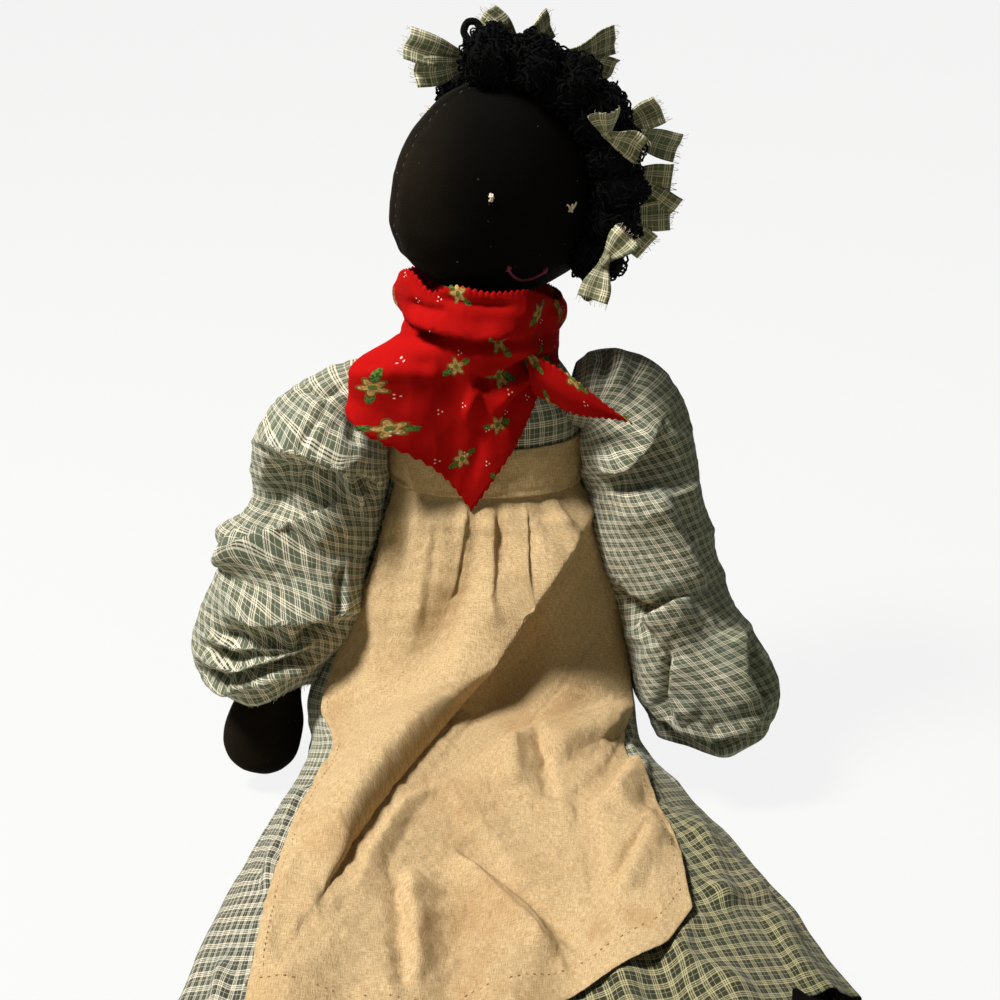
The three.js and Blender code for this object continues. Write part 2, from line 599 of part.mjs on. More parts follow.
const apronTop = 0.082;
const apronFoot = (xi) => Math.min(APRON_FALL - APRON_SLANT * xi, 0.985);
const panelForm = (grow) =>
  onSkirt(true, apronTop, apronFoot, 14, 18, apronEdges, apronLift, grow);
put(group, "apron_panel", cutBy(panelForm(0), band), muslin());
const bandRoom = stuffed([bandBottom - SEAM_GAP, bandBottom + APRON_BAND_HEIGHT + SEAM_GAP]
  .map((height) => torsoRing(height, bandGrow + CLOTH + SEAM_GAP)));
const stringAt = vec(0, torsoReach(Math.PI, bandBottom + 14, bandGrow + CLOTH) + 5, bandBottom + 14);
let bow = solidOfGeometry(new THREE.SphereGeometry(7, 9, 6)).translate([stringAt.x, stringAt.y, stringAt.z]);
for (const side of [-1, 1]) {
  const loop = new THREE.SphereGeometry(1, 10, 6);
  loop.scale(19, 4, 9);
  loop.rotateY(rad(side * 16));
  loop.translate(stringAt.x + side * 21, stringAt.y, stringAt.z + 3);
  bow = bow.add(solidOfGeometry(loop));
  const stringEdges = (v) => [side * (0.06 + v), side * (0.2 + v)];
  bow = bow.add(onSkirt(false, 0.03, () => 0.26, 6, 1, stringEdges, (v) => 4.5 - 2 * soft(0.05, 0.15, v)));
}
put(group, "apron_strings", cutBy(bow, torsoForm(bandGrow + CLOTH + SEAM_GAP)), muslin());

// Kerchief
const kerchief = clothTube(kerchiefRings(CLOTH), kerchiefRings(0)).add(kerchiefTail());
put(group, "kerchief", cutBy(kerchief, torsoForm(SEAM_GAP)), redCotton());
const kerchiefRoom = clothTube(kerchiefRings(CLOTH + SEAM_GAP), kerchiefRings(-SEAM_GAP));

// Arms and sleeves
const sleeveStart = (TORSO_HALF_WIDTH - 1 - armRoot.x) / ARM_LENGTH;
const rightSleeveRows = [
  [sleeveStart, ARMHOLE_RADIUS], [0.12, SLEEVE_RADIUS * 0.8], [0.3, SLEEVE_RADIUS * 0.98],
  [0.46, SLEEVE_RADIUS * 0.92], [0.6, SLEEVE_RADIUS * 1.08], [0.7, SLEEVE_RADIUS * 1.1],
  [0.77, SLEEVE_RADIUS * 0.9], [RIGHT_CUFF_AT, ARM_RADIUS + SEAM_GAP + CLOTH],
];
const leftSleeveRows = [
  [sleeveStart, ARMHOLE_RADIUS], [0.12, SLEEVE_RADIUS * 0.9], [0.3, SLEEVE_RADIUS * 0.9],
  [0.55, SLEEVE_RADIUS * 0.86], [0.72, SLEEVE_RADIUS * 0.9], [0.84, SLEEVE_RADIUS * 0.98],
  [0.92, SLEEVE_RADIUS * 0.88], [LEFT_CUFF_AT, ARM_RADIUS * 1.45],
];
const rightCrease = (t, angle) => 3 * soft(0.12, 0.3, t) * (1 - soft(0.7, 0.79, t)) *
  Math.sin(26 * t + 1.5 * Math.sin(angle));
const leftCrease = (t, angle) => 2 * soft(0.12, 0.3, t) * (1 - soft(0.85, 0.98, t)) *
  Math.sin(3 * angle + 9 * t);
for (const [name, side, rows, crease] of [
  ["right", -1, rightSleeveRows, rightCrease], ["left", 1, leftSleeveRows, leftCrease]]) {
  const arm = cutBy(armForm(side, 0), torsoForm(SEAM_GAP));
  put(group, `${name}_arm`, arm, blackCotton());
  const sleeve = sleeveForm(side, rows, crease);
  put(group, `${name}_sleeve`, cutBy(sleeve, armForm(side, SEAM_GAP), skirtRoom,
    bandRoom, panelForm(SEAM_GAP), torsoForm(2 * SEAM_GAP + CLOTH), kerchiefRoom), checkedCotton());
}

// Head with its features
const neckHere = toHead(torsoForm(SEAM_GAP));
put(headGroup, "head", cutBy(headForm(0), neckHere), blackCotton());
const headRoom = headForm(SEAM_GAP);
for (const [name, side] of [["right_eye", -1], ["left_eye", 1]]) {
  const at = onFace((side * EYE_SPACING) / 2 - 1, 1 - 3 * side, 0.6);
  const stitch = new THREE.SphereGeometry(1, 10, 6);
  stitch.scale(1.6, 1.8, 3.2);
  stitch.translate(at.x, at.y, at.z);
  put(headGroup, name, cutBy(solidOfGeometry(stitch), headRoom), creamThread());
}
const smile = new THREE.CatmullRomCurve3(steps(-0.5, 0.5, 8).map((t) =>
  onFace(t * MOUTH_WIDTH + 4, -48.5 + 29 * t * t - 2.5 * t, 1)));
const mouth = stuffed(smile.getSpacedPoints(12).map((p, i) => {
  const thick = i === 0 || i === 12 ? 1.5 : 1.1;
  return turns(8).map((angle) => p.clone().add(vec(0, thick * Math.cos(angle), thick * Math.sin(angle))));
}));
put(headGroup, "mouth_stitches", cutBy(mouth, headRoom), redThread());

// Hair bunches, each cut by the head and by the bunches before it, and their rag ties
const placed = bunches.map((bunch, i) => bunchForm(bunch, i, 0));
const bunchRoom = bunches.map((bunch, i) => bunchForm(bunch, i, SEAM_GAP).solid);
placed.forEach((bunch, i) => {
  put(headGroup, `hair_bunch_${i + 1}`, cutBy(bunch.solid, headRoom, ...bunchRoom.slice(0, i)), blackYarn());
});
placed.forEach((bunch, i) => {
  const before = placed.slice(0, i).map((other, k) => ragForm(other, k, SEAM_GAP));
  const rag = cutBy(ragForm(bunch, i, 0), headRoom, ...bunchRoom, ...before);
  put(headGroup, `rag_tie_${i + 1}`, rag, checkedCotton());
});
group.add(headGroup);

export default group;
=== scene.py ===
# %% [markdown]
# A primitive cloth doll, sitting with its legs out in front.
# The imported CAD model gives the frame: where each piece sits and which body it moves with. This lesson
# dresses that frame piece by piece in cloth, yarn and thread. All lengths below are in millimetres, and
# become metres only when a mesh is made.

# %% Load the frame
import math

import bmesh
import bpy
import numpy as np
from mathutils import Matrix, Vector, noise


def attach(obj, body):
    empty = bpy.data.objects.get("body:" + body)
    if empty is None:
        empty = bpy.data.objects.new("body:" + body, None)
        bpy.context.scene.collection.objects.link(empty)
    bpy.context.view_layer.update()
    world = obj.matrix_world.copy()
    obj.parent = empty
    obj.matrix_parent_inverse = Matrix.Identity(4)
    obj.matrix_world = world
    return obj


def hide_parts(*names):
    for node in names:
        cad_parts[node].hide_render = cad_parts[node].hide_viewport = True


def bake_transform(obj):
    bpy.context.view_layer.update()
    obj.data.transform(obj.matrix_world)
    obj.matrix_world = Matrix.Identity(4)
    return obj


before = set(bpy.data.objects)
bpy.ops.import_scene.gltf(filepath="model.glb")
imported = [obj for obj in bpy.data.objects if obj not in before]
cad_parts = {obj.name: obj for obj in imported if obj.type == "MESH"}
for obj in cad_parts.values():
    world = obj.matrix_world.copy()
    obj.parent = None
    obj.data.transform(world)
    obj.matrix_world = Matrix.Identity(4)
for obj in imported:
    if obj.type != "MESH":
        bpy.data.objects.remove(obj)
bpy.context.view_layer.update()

scene = bpy.context.scene

# %% [markdown]
# The camera comes first. The photograph looks down on the doll by about 23 degrees from straight in front,
# through a short telephoto lens. Once the camera is known, any point can be turned into a place in the
# picture, so a fold that is seen in the photograph can be drawn as a line in picture points.

# %% Camera
MM = 0.001
LOOK_DOWN = math.radians(23)
AIM = np.array([9.0, -60.0, 200.0])
DISTANCE = 1150.0
WIDTH_AT_AIM = 600.0
PICTURE = 1000
SENSOR = 36
ahead = np.array([0, math.cos(LOOK_DOWN), -math.sin(LOOK_DOWN)])
upward = np.array([0, math.sin(LOOK_DOWN), math.cos(LOOK_DOWN)])
eye = AIM - ahead * DISTANCE


def add_object(name, data):
    made = bpy.data.objects.new(name, data)
    scene.collection.objects.link(made)
    return made


camera_data = bpy.data.cameras.new("camera")
camera_data.sensor_width = SENSOR
camera_data.lens = SENSOR * DISTANCE / WIDTH_AT_AIM
camera = add_object("camera", camera_data)
camera.location = Vector(eye * MM)
camera.rotation_euler = (math.pi / 2 - LOOK_DOWN, 0, 0)
scene.camera = camera


def in_picture(points):
    """Where points in millimetres fall in the picture, from its upper left corner."""
    away = points - eye
    depth = away @ ahead
    scale = PICTURE * DISTANCE / WIDTH_AT_AIM
    half = PICTURE / 2
    return np.stack([half + away[..., 0] / depth * scale, half - (away @ upward) / depth * scale], -1)


print("camera at", [round(c, 3) for c in camera.location], "lens", camera_data.lens)

# %% [markdown]
# Light and floor. One lamp stands high on the left, a weak and slightly green one in front, and a dim world
# fills the shadows. The floor is plain white: rays from the camera see it almost as a lit white card, and the
# share that stays diffuse keeps the soft shadow under the doll.

# %% Lights, world and floor
LAMP_AIM = Vector((0, -0.08, 0.2))
ROOM_LIGHT = 0.026
WHITE_CARD_SHARE = 0.88
FLOOR_HALF = 4


def tree_node(tree, kind, **values):
    """A new node. Words in lower case are its settings, and the others feed its inputs."""
    made = tree.nodes.new(kind)
    for label, value in values.items():
        if label.islower():
            setattr(made, label, value)
        else:
            feed(tree, made.inputs[label.replace("_", " ")], value)
    return made


def feed(tree, socket, value):
    if isinstance(value, bpy.types.NodeSocket):
        tree.links.new(value, socket)
    else:
        socket.default_value = value


def soft_lamp(name, place, size, watts, warmth):
    lamp_data = bpy.data.lights.new(name, "AREA")
    lamp_data.shape = "DISK"
    lamp_data.size = size
    lamp_data.energy = watts
    lamp_data.color = warmth
    lamp = add_object(name, lamp_data)
    lamp.location = place
    lamp.rotation_euler = (LAMP_AIM - lamp.location).to_track_quat("-Z", "Y").to_euler()


soft_lamp("key_lamp", (-1.05, -0.4, 1.98), 0.5, 77, (1.0, 0.98, 0.95))
soft_lamp("fill_lamp", (0.3, -1.9, 0.8), 1.2, 1.8, (0.95, 1.0, 0.72))

world = bpy.data.worlds.new("studio")
scene.world = world
world.use_nodes = True
room = world.node_tree.nodes["Background"]
room.inputs["Color"].default_value = (1, 1, 1, 1)


def straight_rays(tree):
    """1 for rays that show the background itself: camera, glossy and transmission rays."""
    path = tree_node(tree, "ShaderNodeLightPath")
    share = path.outputs["Is Camera Ray"]
    for kind in ("Is Glossy Ray", "Is Transmission Ray"):
        either = tree_node(tree, "ShaderNodeMath", operation="MAXIMUM")
        feed(tree, either.inputs[0], share)
        feed(tree, either.inputs[1], path.outputs[kind])
        share = either.outputs[0]
    return share


room_level = tree_node(world.node_tree, "ShaderNodeMapRange", Value=straight_rays(world.node_tree),
                       To_Min=ROOM_LIGHT, To_Max=1.0)
feed(world.node_tree, room.inputs["Strength"], room_level.outputs[0])

floor_mesh = bpy.data.meshes.new("floor")
corners = [(x * FLOOR_HALF, y * FLOOR_HALF, 0) for x, y in ((-1, -1), (1, -1), (1, 1), (-1, 1))]
floor_mesh.from_pydata(corners, [], [(0, 1, 2, 3)])
floor = add_object("floor", floor_mesh)
floor_finish = bpy.data.materials.new("white_floor")
floor_finish.use_nodes = True
tree = floor_finish.node_tree
floor_shader = tree.nodes["Principled BSDF"]
floor_shader.inputs["Base Color"].default_value = (0.44, 0.45, 0.38, 1)
floor_shader.inputs["Roughness"].default_value = 0.9
white_card = tree_node(tree, "ShaderNodeEmission", Strength=1.0)
floor_share = tree_node(tree, "ShaderNodeMath", operation="MULTIPLY")
floor_share.inputs[1].default_value = WHITE_CARD_SHARE
feed(tree, floor_share.inputs[0], straight_rays(tree))
floor_mix = tree_node(tree, "ShaderNodeMixShader")
for socket, wire in zip(floor_mix.inputs, (floor_share, floor_shader, white_card)):
    feed(tree, socket, wire.outputs[0])
feed(tree, tree.nodes["Material Output"].inputs["Surface"], floor_mix.outputs[0])
floor_mesh.materials.append(floor_finish)
scene.view_settings.view_transform = "Standard"
print("lamps, world and floor are set")

# %% [markdown]
# Finishes. Each cloth gets a node material. A small class keeps the node code short: it makes a Principled
# shader and has words for the maths, mixing and noise that all the cloths share. Patterns that belong to the
# weave read the piece's own UV map, called cloth, which counts in metres along the threads. Stains, wear and
# painted shade read the place on the doll.

# %% Short words for node materials
def colour(red, green, blue):
    """A colour written as it looks on a screen, 0 to 255, turned into the linear values that shaders use."""
    parts = []
    for part in (red, green, blue):
        share = part / 255
        parts.append(share / 12.92 if share <= 0.04045 else ((share + 0.055) / 1.055) ** 2.4)
    return (*parts, 1.0)


class Finish:
    def __init__(self, name, roughness, sheen=0.0, sheen_colour=(1, 1, 1, 1)):
        self.material = bpy.data.materials.new(name)
        self.material.use_nodes = True
        self.tree = self.material.node_tree
        self.shader = self.tree.nodes["Principled BSDF"]
        self.shader.inputs["Roughness"].default_value = roughness
        self.shader.inputs["Specular IOR Level"].default_value = 0.25
        self.shader.inputs["Sheen Weight"].default_value = sheen
        self.shader.inputs["Sheen Roughness"].default_value = 0.5
        self.shader.inputs["Sheen Tint"].default_value = sheen_colour

    def node(self, kind, **values):
        return tree_node(self.tree, kind, **values)

    def math(self, operation, *values):
        made = self.node("ShaderNodeMath", operation=operation)
        for socket, value in zip(made.inputs, values):
            feed(self.tree, socket, value)
        return made.outputs[0]

    def mix(self, share, first, second, kind="MIX"):
        made = self.node("ShaderNodeMix", data_type="RGBA", blend_type=kind)
        for socket, value in ((0, share), (6, first), (7, second)):
            feed(self.tree, made.inputs[socket], value)
        return made.outputs[2]

    def ramp(self, value, low, high):
        return self.node("ShaderNodeMapRange", interpolation_type="SMOOTHSTEP", Value=value,
                         From_Min=low, From_Max=high).outputs[0]

    def noise(self, where, scale, detail=2.0, stretch=(1, 1, 1), rough=0.5):
        place = self.node("ShaderNodeMapping", Vector=where, Scale=stretch)
        return self.node("ShaderNodeTexNoise", Vector=place.outputs[0], Scale=scale, Detail=detail,
                         Roughness=rough).outputs[0]

    def split(self, vector):
        return self.node("ShaderNodeSeparateXYZ", Vector=vector).outputs

    def threads(self):
        """The cloth's own UV map, as a vector and as its two distances in metres."""
        where = self.node("ShaderNodeUVMap", uv_map="cloth").outputs[0]
        across, along = self.split(where)[:2]
        return where, across, along

    def weave(self, across, along, pitch):
        """A plain weave as a height: over and under, one thread every pitch metres."""
        over = self.math("SINE", self.math("MULTIPLY", across, math.pi / pitch))
        under = self.math("SINE", self.math("MULTIPLY", along, math.pi / pitch))
        return self.math("MULTIPLY", over, under)

    def slubs(self, where, scale, longer):
        """Uneven threads both ways: noise drawn out along each of them."""
        warp = self.noise(where, scale, 1, (1, longer, 1))
        return self.math("ADD", warp, self.noise(where, scale, 1, (longer, 1, 1)))

    def spot(self):
        """The place on the doll, as a vector and as its three distances in metres."""
        where = self.node("ShaderNodeTexCoord").outputs["Object"]
        return where, *self.split(where)

    def bump(self, height, distance, strength):
        made = self.node("ShaderNodeBump", Height=height, Distance=distance, Strength=strength)
        feed(self.tree, self.shader.inputs["Normal"], made.outputs[0])

    def paint(self, value):
        feed(self.tree, self.shader.inputs["Base Color"], value)


print("finish helper ready")

# %% [markdown]
# Checked cotton. The dress is a homespun check: a grey green ground with groups of three cream lines, brown
# lines between them and one thin cream line further on, repeated about every 9.6 mm both ways. A colour ramp
# marks the pale and the dark threads, once across the cloth and once along it. The sum of both marks tells
# how much cream and brown shows: about half where a line crosses the ground, and all where two lines cross.
# On the lap and the front of the skirt the ground is darker, partly dirt and partly painted shade, more so on
# the doll's left side, and the outer side of the left sleeve is a darker green, which is painted shade.

# %% Checked cotton
CHECK_REPEAT = 9.6
NO_MARK, PALE_MARK, DARK_MARK = (0, 0, 0, 1), (1, 0, 0, 1), (0, 1, 0, 1)
CHECK_LINES = [
    (0.0, NO_MARK), (0.10, PALE_MARK), (0.19, DARK_MARK), (0.25, PALE_MARK), (0.315, DARK_MARK),
    (0.375, PALE_MARK), (0.465, NO_MARK), (0.72, PALE_MARK), (0.75, NO_MARK),
]


def checked_cotton(name, field, cream, brown, teal, shade_and_dirt):
    finish = Finish(name, 0.92, sheen=0.12)
    where, across, along = finish.threads()
    wander = finish.math("MULTIPLY", finish.noise(where, 45, 1), 0.10)
    both = []
    for axis, shift in ((across, 0.0), (along, 0.31)):
        place = finish.math("MULTIPLY", axis, 1000 / CHECK_REPEAT)
        place = finish.math("ADD", finish.math("ADD", place, wander), shift)
        stripes = finish.node("ShaderNodeValToRGB", Fac=finish.math("FRACT", place))
        stripes.color_ramp.interpolation = "CONSTANT"
        marks = stripes.color_ramp.elements
        while len(marks) < len(CHECK_LINES):
            marks.new(0.5)
        for mark, (at, tone) in zip(marks, CHECK_LINES):
            mark.position = at
            mark.color = tone
        both.append(stripes.outputs[0])
    over = finish.weave(across, along, 0.00055)
    yarns = finish.node("ShaderNodeSeparateColor", Color=finish.mix(1.0, *both, "ADD"))
    dark_share = finish.math("MULTIPLY", yarns.outputs[1], 0.7)
    pale_share = finish.math("MULTIPLY", yarns.outputs[0], finish.math("MULTIPLY_ADD", over, 0.2, 0.58))
    x, y, z = finish.spot()[1:]
    # painted shade and dirt: the ground turns darker towards the front, over the lap and the lower skirt
    lower = finish.math("MULTIPLY", finish.ramp(y, -0.1, -0.17), shade_and_dirt)
    ground = finish.mix(lower, field, colour(50, 49, 36))
    cloth = finish.mix(finish.math("MINIMUM", dark_share, 1.0), ground, brown)
    cloth = finish.mix(finish.math("MINIMUM", pale_share, 1.0), cloth, cream)
    faded = finish.ramp(finish.noise(where, 22, 2), 0.45, 0.75)
    cloth = finish.mix(finish.math("MULTIPLY", faded, 0.3), cloth, teal)
    slub = finish.slubs(where, 300, 6)
    cloth = finish.mix(0.5, cloth, finish.math("MULTIPLY_ADD", slub, 0.9, 0.1), "MULTIPLY")
    # painted shade and dirt: darker again on the doll's left side of the lap and skirt
    left_shade_and_dirt = finish.math("MULTIPLY", finish.ramp(x, -0.06, 0.06), lower)
    cloth = finish.mix(left_shade_and_dirt, cloth, colour(186, 184, 146), "MULTIPLY")
    # painted shade: a darker green along the outer side of the left sleeve and the doll's far left of the
    # skirt, following the edge of the shadow
    outer = finish.math("MULTIPLY_ADD", z, 0.32, x)
    painted_shade_side = finish.math("MULTIPLY", finish.ramp(outer, 0.165, 0.215), shade_and_dirt)
    cloth = finish.mix(painted_shade_side, cloth, colour(172, 186, 148), "MULTIPLY")
    finish.paint(cloth)
    finish.bump(finish.math("ADD", over, slub), 0.00018, 0.6)
    return finish.material


dress_cloth = checked_cotton("checked_cotton", colour(92, 98, 77), colour(244, 237, 212),
                             colour(58, 46, 33), colour(84, 104, 96), 0.85)
rag_cloth = checked_cotton("rag_cotton", colour(108, 110, 77), colour(238, 229, 194),
                           colour(74, 62, 42), colour(120, 138, 126), 0.0)
print("finish:", dress_cloth.name, rag_cloth.name)

# %% [markdown]
# Unbleached muslin. The apron is a plain weave in a warm straw colour, stained with tea so that it looks
# old. The thread colour varies along its length, small husks show as dark flecks, and brown tide marks
# gather towards the lower edge. Long thin noise along each thread direction gives the slubs.

# %% Muslin
def stained_muslin(name, straw, pale, tea):
    finish = Finish(name, 0.95, sheen=0.03, sheen_colour=colour(255, 236, 205))
    finish.shader.inputs["Specular IOR Level"].default_value = 0.12
    where, across, along = finish.threads()
    slub = finish.slubs(where, 200, 11)
    over = finish.weave(across, along, 0.00075)
    grain = finish.math("MULTIPLY_ADD", over, 0.1, finish.ramp(slub, 0.72, 1.28))
    cloth = finish.mix(grain, straw, pale)
    cloud = finish.ramp(finish.noise(where, 9, 4, rough=0.62), 0.46, 0.72)
    cloth = finish.mix(finish.math("MULTIPLY", cloud, 0.4), cloth, tea)
    tide = finish.ramp(finish.noise(where, 26, 3), 0.56, 0.7)
    low = finish.ramp(along, 0.16, 0.40)
    cloth = finish.mix(finish.math("MULTIPLY", finish.math("MULTIPLY", tide, low), 0.35), cloth, tea)
    husks = finish.ramp(finish.noise(where, 900, 0, (1, 0.5, 1)), 0.74, 0.78)
    cloth = finish.mix(finish.math("MULTIPLY", husks, 0.3), cloth, colour(92, 66, 34))
    finish.paint(cloth)
    finish.bump(finish.math("MULTIPLY_ADD", over, 0.12, slub), 0.0006, 0.75)
    return finish.material


apron_cloth = stained_muslin("muslin", colour(180, 148, 102), colour(216, 191, 149), colour(162, 116, 66))
print("finish:", apron_cloth.name)

# %% [markdown]
# Red printed cotton. The kerchief carries a small generic print of scattered blossoms with leaves and
# groups of pale dots. A Voronoi texture drops one random point in each cell, and its Position output gives
# the middle of the motif, so each blossom is drawn in its own polar coordinates: petals are a wave round
# the angle.

# %% Red print
def motif_places(finish, where, per_metre, shift):
    """Distance and angle from the nearest motif's middle, in cells, with a random number for each motif."""
    place = finish.node("ShaderNodeMapping", Vector=where, Location=(shift, shift * 0.37, 0)).outputs[0]
    cells = finish.node("ShaderNodeTexVoronoi", voronoi_dimensions="2D", Vector=place, Scale=per_metre,
                        Randomness=0.62)
    offset = finish.node("ShaderNodeVectorMath", operation="SUBTRACT")
    feed(finish.tree, offset.inputs[0], place)
    feed(finish.tree, offset.inputs[1], cells.outputs["Position"])
    x, y = finish.split(offset.outputs[0])[:2]
    angle = finish.math("ARCTAN2", y, x)
    chance = finish.node("ShaderNodeSeparateColor", Color=cells.outputs["Color"])
    return cells.outputs["Distance"], angle, chance.outputs[0], chance.outputs[1]


def red_print(name):
    finish = Finish(name, 0.9)
    finish.shader.inputs["Specular IOR Level"].default_value = 0.08
    where, across, along = finish.threads()
    over = finish.weave(across, along, 0.0004)
    shade = finish.noise(where, 14, 3)
    cloth = finish.mix(finish.ramp(shade, 0.3, 0.7), colour(156, 7, 5), colour(176, 12, 9))

    far, angle, chance, turn = motif_places(finish, where, 34, 0.21)
    round_angle = finish.math("MULTIPLY_ADD", turn, 6.28, angle)
    petals = finish.math("COSINE", finish.math("MULTIPLY", round_angle, 5.0))
    reach = finish.math("MULTIPLY_ADD", petals, 0.05, 0.175)
    leaves = finish.math("COSINE", finish.math("MULTIPLY", round_angle, 2.0))
    leaves = finish.math("POWER", finish.math("MAXIMUM", leaves, 0.0), 3.0)
    leaf_reach = finish.math("MULTIPLY_ADD", leaves, 0.34, 0.02)
    some = finish.math("GREATER_THAN", chance, 0.22)
    leaf = finish.math("MULTIPLY", finish.math("LESS_THAN", far, leaf_reach), some)
    petal = finish.math("MULTIPLY", finish.math("LESS_THAN", far, reach), some)
    rim = finish.math("LESS_THAN", far, finish.math("MULTIPLY_ADD", petals, 0.05, 0.135))
    heart = finish.math("MULTIPLY", finish.math("LESS_THAN", far, 0.055), some)
    speckle = finish.noise(where, 900, 1)
    tan = finish.mix(finish.ramp(speckle, 0.35, 0.65), colour(150, 112, 58), colour(204, 168, 104))
    green = finish.mix(finish.ramp(speckle, 0.4, 0.6), colour(46, 78, 34), colour(98, 124, 58))
    cloth = finish.mix(leaf, cloth, green)
    cloth = finish.mix(petal, cloth, colour(112, 80, 38))
    cloth = finish.mix(finish.math("MULTIPLY", petal, rim), cloth, tan)
    cloth = finish.mix(heart, cloth, colour(96, 110, 48))

    near, dot_angle, dot_chance = motif_places(finish, where, 62, 0.83)[:3]
    three = finish.math("COSINE", finish.math("MULTIPLY", dot_angle, 3.0))
    ring = finish.math("ABSOLUTE", finish.math("SUBTRACT", near, 0.085))
    dots = finish.math("LESS_THAN", ring, finish.math("MULTIPLY_ADD", three, 0.05, -0.02))
    dots = finish.math("MULTIPLY", dots, finish.math("GREATER_THAN", dot_chance, 0.66))
    cloth = finish.mix(dots, cloth, colour(236, 206, 196))
    finish.paint(cloth)
    finish.bump(over, 0.00012, 0.6)
    return finish.material


kerchief_cloth = red_print("red_print")
print("finish:", kerchief_cloth.name)

# %% [markdown]
# Black cotton, wool yarn and threads. The body is a faded black cotton, a little brown where it has been
# handled, with specks of lint; the brown is painted stronger on the doll's right side, the side the lamp
# lights, as painted light. Black cloth still needs a weave and a little sheen, or it reads as a hole in the
# picture. The yarn is rougher, and the embroidery threads have a fine twist.

# %% Black cotton
def black_cotton(name, black, faded):
    finish = Finish(name, 0.8, sheen=0.006, sheen_colour=colour(150, 135, 118))
    finish.shader.inputs["Specular IOR Level"].default_value = 0.03
    where, x, y, z = finish.spot()
    slant = finish.math("ADD", x, finish.math("MULTIPLY", y, 0.6))
    over = finish.weave(slant, z, 0.0006)
    patch = finish.ramp(finish.noise(where, 12, 3, rough=0.5), 0.2, 0.7)
    # painted light: the brown worn patches grow stronger on the doll's right side, the side the lamp lights
    side = finish.ramp(x, 0.0, -0.06)
    wear_and_light = finish.math("MULTIPLY", finish.math("ADD", finish.math("MULTIPLY", side, 0.7), 0.12), patch)
    cloth = finish.mix(wear_and_light, black, faded)
    lint = finish.ramp(finish.noise(where, 420, 0), 0.872, 0.884)
    cloth = finish.mix(finish.math("MULTIPLY", lint, 0.35), cloth, colour(150, 140, 126))
    finish.paint(cloth)
    finish.bump(finish.math("ADD", over, finish.noise(where, 700, 2)), 0.0002, 0.5)
    return finish.material


def spun_thread(name, dark, light, sheen, pitch):
    finish = Finish(name, 0.85, sheen=sheen)
    twist = finish.noise(finish.spot()[0], pitch, 3, rough=0.7)
    finish.paint(finish.mix(finish.ramp(twist, 0.3, 0.7), dark, light))
    finish.bump(twist, 0.0006, 0.8)
    return finish.material


body_cloth = black_cotton("black_cotton", colour(2, 2, 2), colour(32, 26, 17))
yarn = spun_thread("black_yarn", colour(1, 1, 1), colour(6, 6, 6), 0.0, 900)
yarn.node_tree.nodes["Principled BSDF"].inputs["Specular IOR Level"].default_value = 0.06
cream_thread = spun_thread("cream_thread", colour(196, 176, 140), colour(238, 228, 206), 0.1, 1400)
smile_thread = spun_thread("red_thread", colour(96, 22, 44), colour(150, 48, 74), 0.1, 1400)
seam_thread = spun_thread("seam_thread", colour(40, 36, 32), colour(96, 88, 78), 0.1, 1400)
hem_thread = spun_thread("hem_thread", colour(176, 142, 96), colour(214, 184, 138), 0.05, 1400)
fray_thread = spun_thread("fray_thread", colour(150, 144, 108), colour(226, 216, 186), 0.05, 600)
print("finishes:", body_cloth.name, yarn.name, cream_thread.name, smile_thread.name, seam_thread.name)

# %% [markdown]
# Helpers for shape. Most pieces are grids of points: rows down the cloth and columns across it. Smooth
# values between a few measured rows give the sections, and the same grid gives the mesh, its normals and its
# UV map. A fold is then a line in picture points with a height and two widths, one for each side, so it can
# be gentle on one side and steep on the other as real folds are.

# %% Smooth values and paths
def smooth(low, high, value):
    """A soft step: 0 up to low, 1 from high on."""
    share = np.clip((np.asarray(value, float) - low) / (high - low), 0, 1)
    return share * share * (3 - 2 * share)


def hump(value, middle, spread):
    """A soft bell: 1 in the middle, about a third at the spread."""
    return np.exp(-(((np.asarray(value, float) - middle) / spread) ** 2))


def blend_of(first, second, share):
    return first + (second - first) * share


def full_turn(count):
    return np.linspace(0, 2 * np.pi, count, endpoint=False)


def unit(vectors):
    return vectors / np.linalg.norm(vectors, axis=-1, keepdims=True)


def read_along(places, run, values):
    """Values given at the points of a line, read at places along its run."""
    return np.stack([np.interp(places, run, column) for column in values.T], -1)


def rows_at(rows, place):
    """Smooth values between rows of [place, value, value ...], for an array of places."""
    table = np.array(rows, float)
    keys = table[:, 0]
    values = table[:, 1:]
    slopes = np.gradient(values, keys, axis=0)
    place = np.clip(np.asarray(place, float), keys[0], keys[-1])
    low = np.clip(np.searchsorted(keys, place, side="right") - 1, 0, len(keys) - 2)
    span = (keys[low + 1] - keys[low])[..., None]
    t = (place - keys[low])[..., None] / span
    rise = 2 * t**3 - 3 * t**2
    return (values[low] * (rise + 1) - values[low + 1] * rise
            + slopes[low] * span * (t**3 - 2 * t**2 + t) + slopes[low + 1] * span * (t**3 - t**2))


def run_of(points):
    """How far along a line each of its points lies."""
    return np.r_[0, np.cumsum(np.linalg.norm(np.diff(points, axis=0), axis=1))]


def path_through(points):
    """A smooth path: a function from share of length, which may pass 1, to places and directions."""
    points = np.array(points, float)
    chords = run_of(points)
    fine = np.linspace(0, chords[-1], 400)
    line = rows_at(np.c_[chords, points], fine)
    run = run_of(line)
    directions = unit(np.gradient(line, run, axis=0))

    def at(share):
        share = np.asarray(share, float)
        inside = np.clip(share, 0, 1) * run[-1]
        turn = unit(read_along(inside, run, directions))
        beyond = (share - np.clip(share, 0, 1)) * run[-1]
        return read_along(inside, run, line) + turn * beyond[..., None], turn

    return at, run[-1]


print("a smooth step at a quarter:", smooth(0, 1, 0.25))


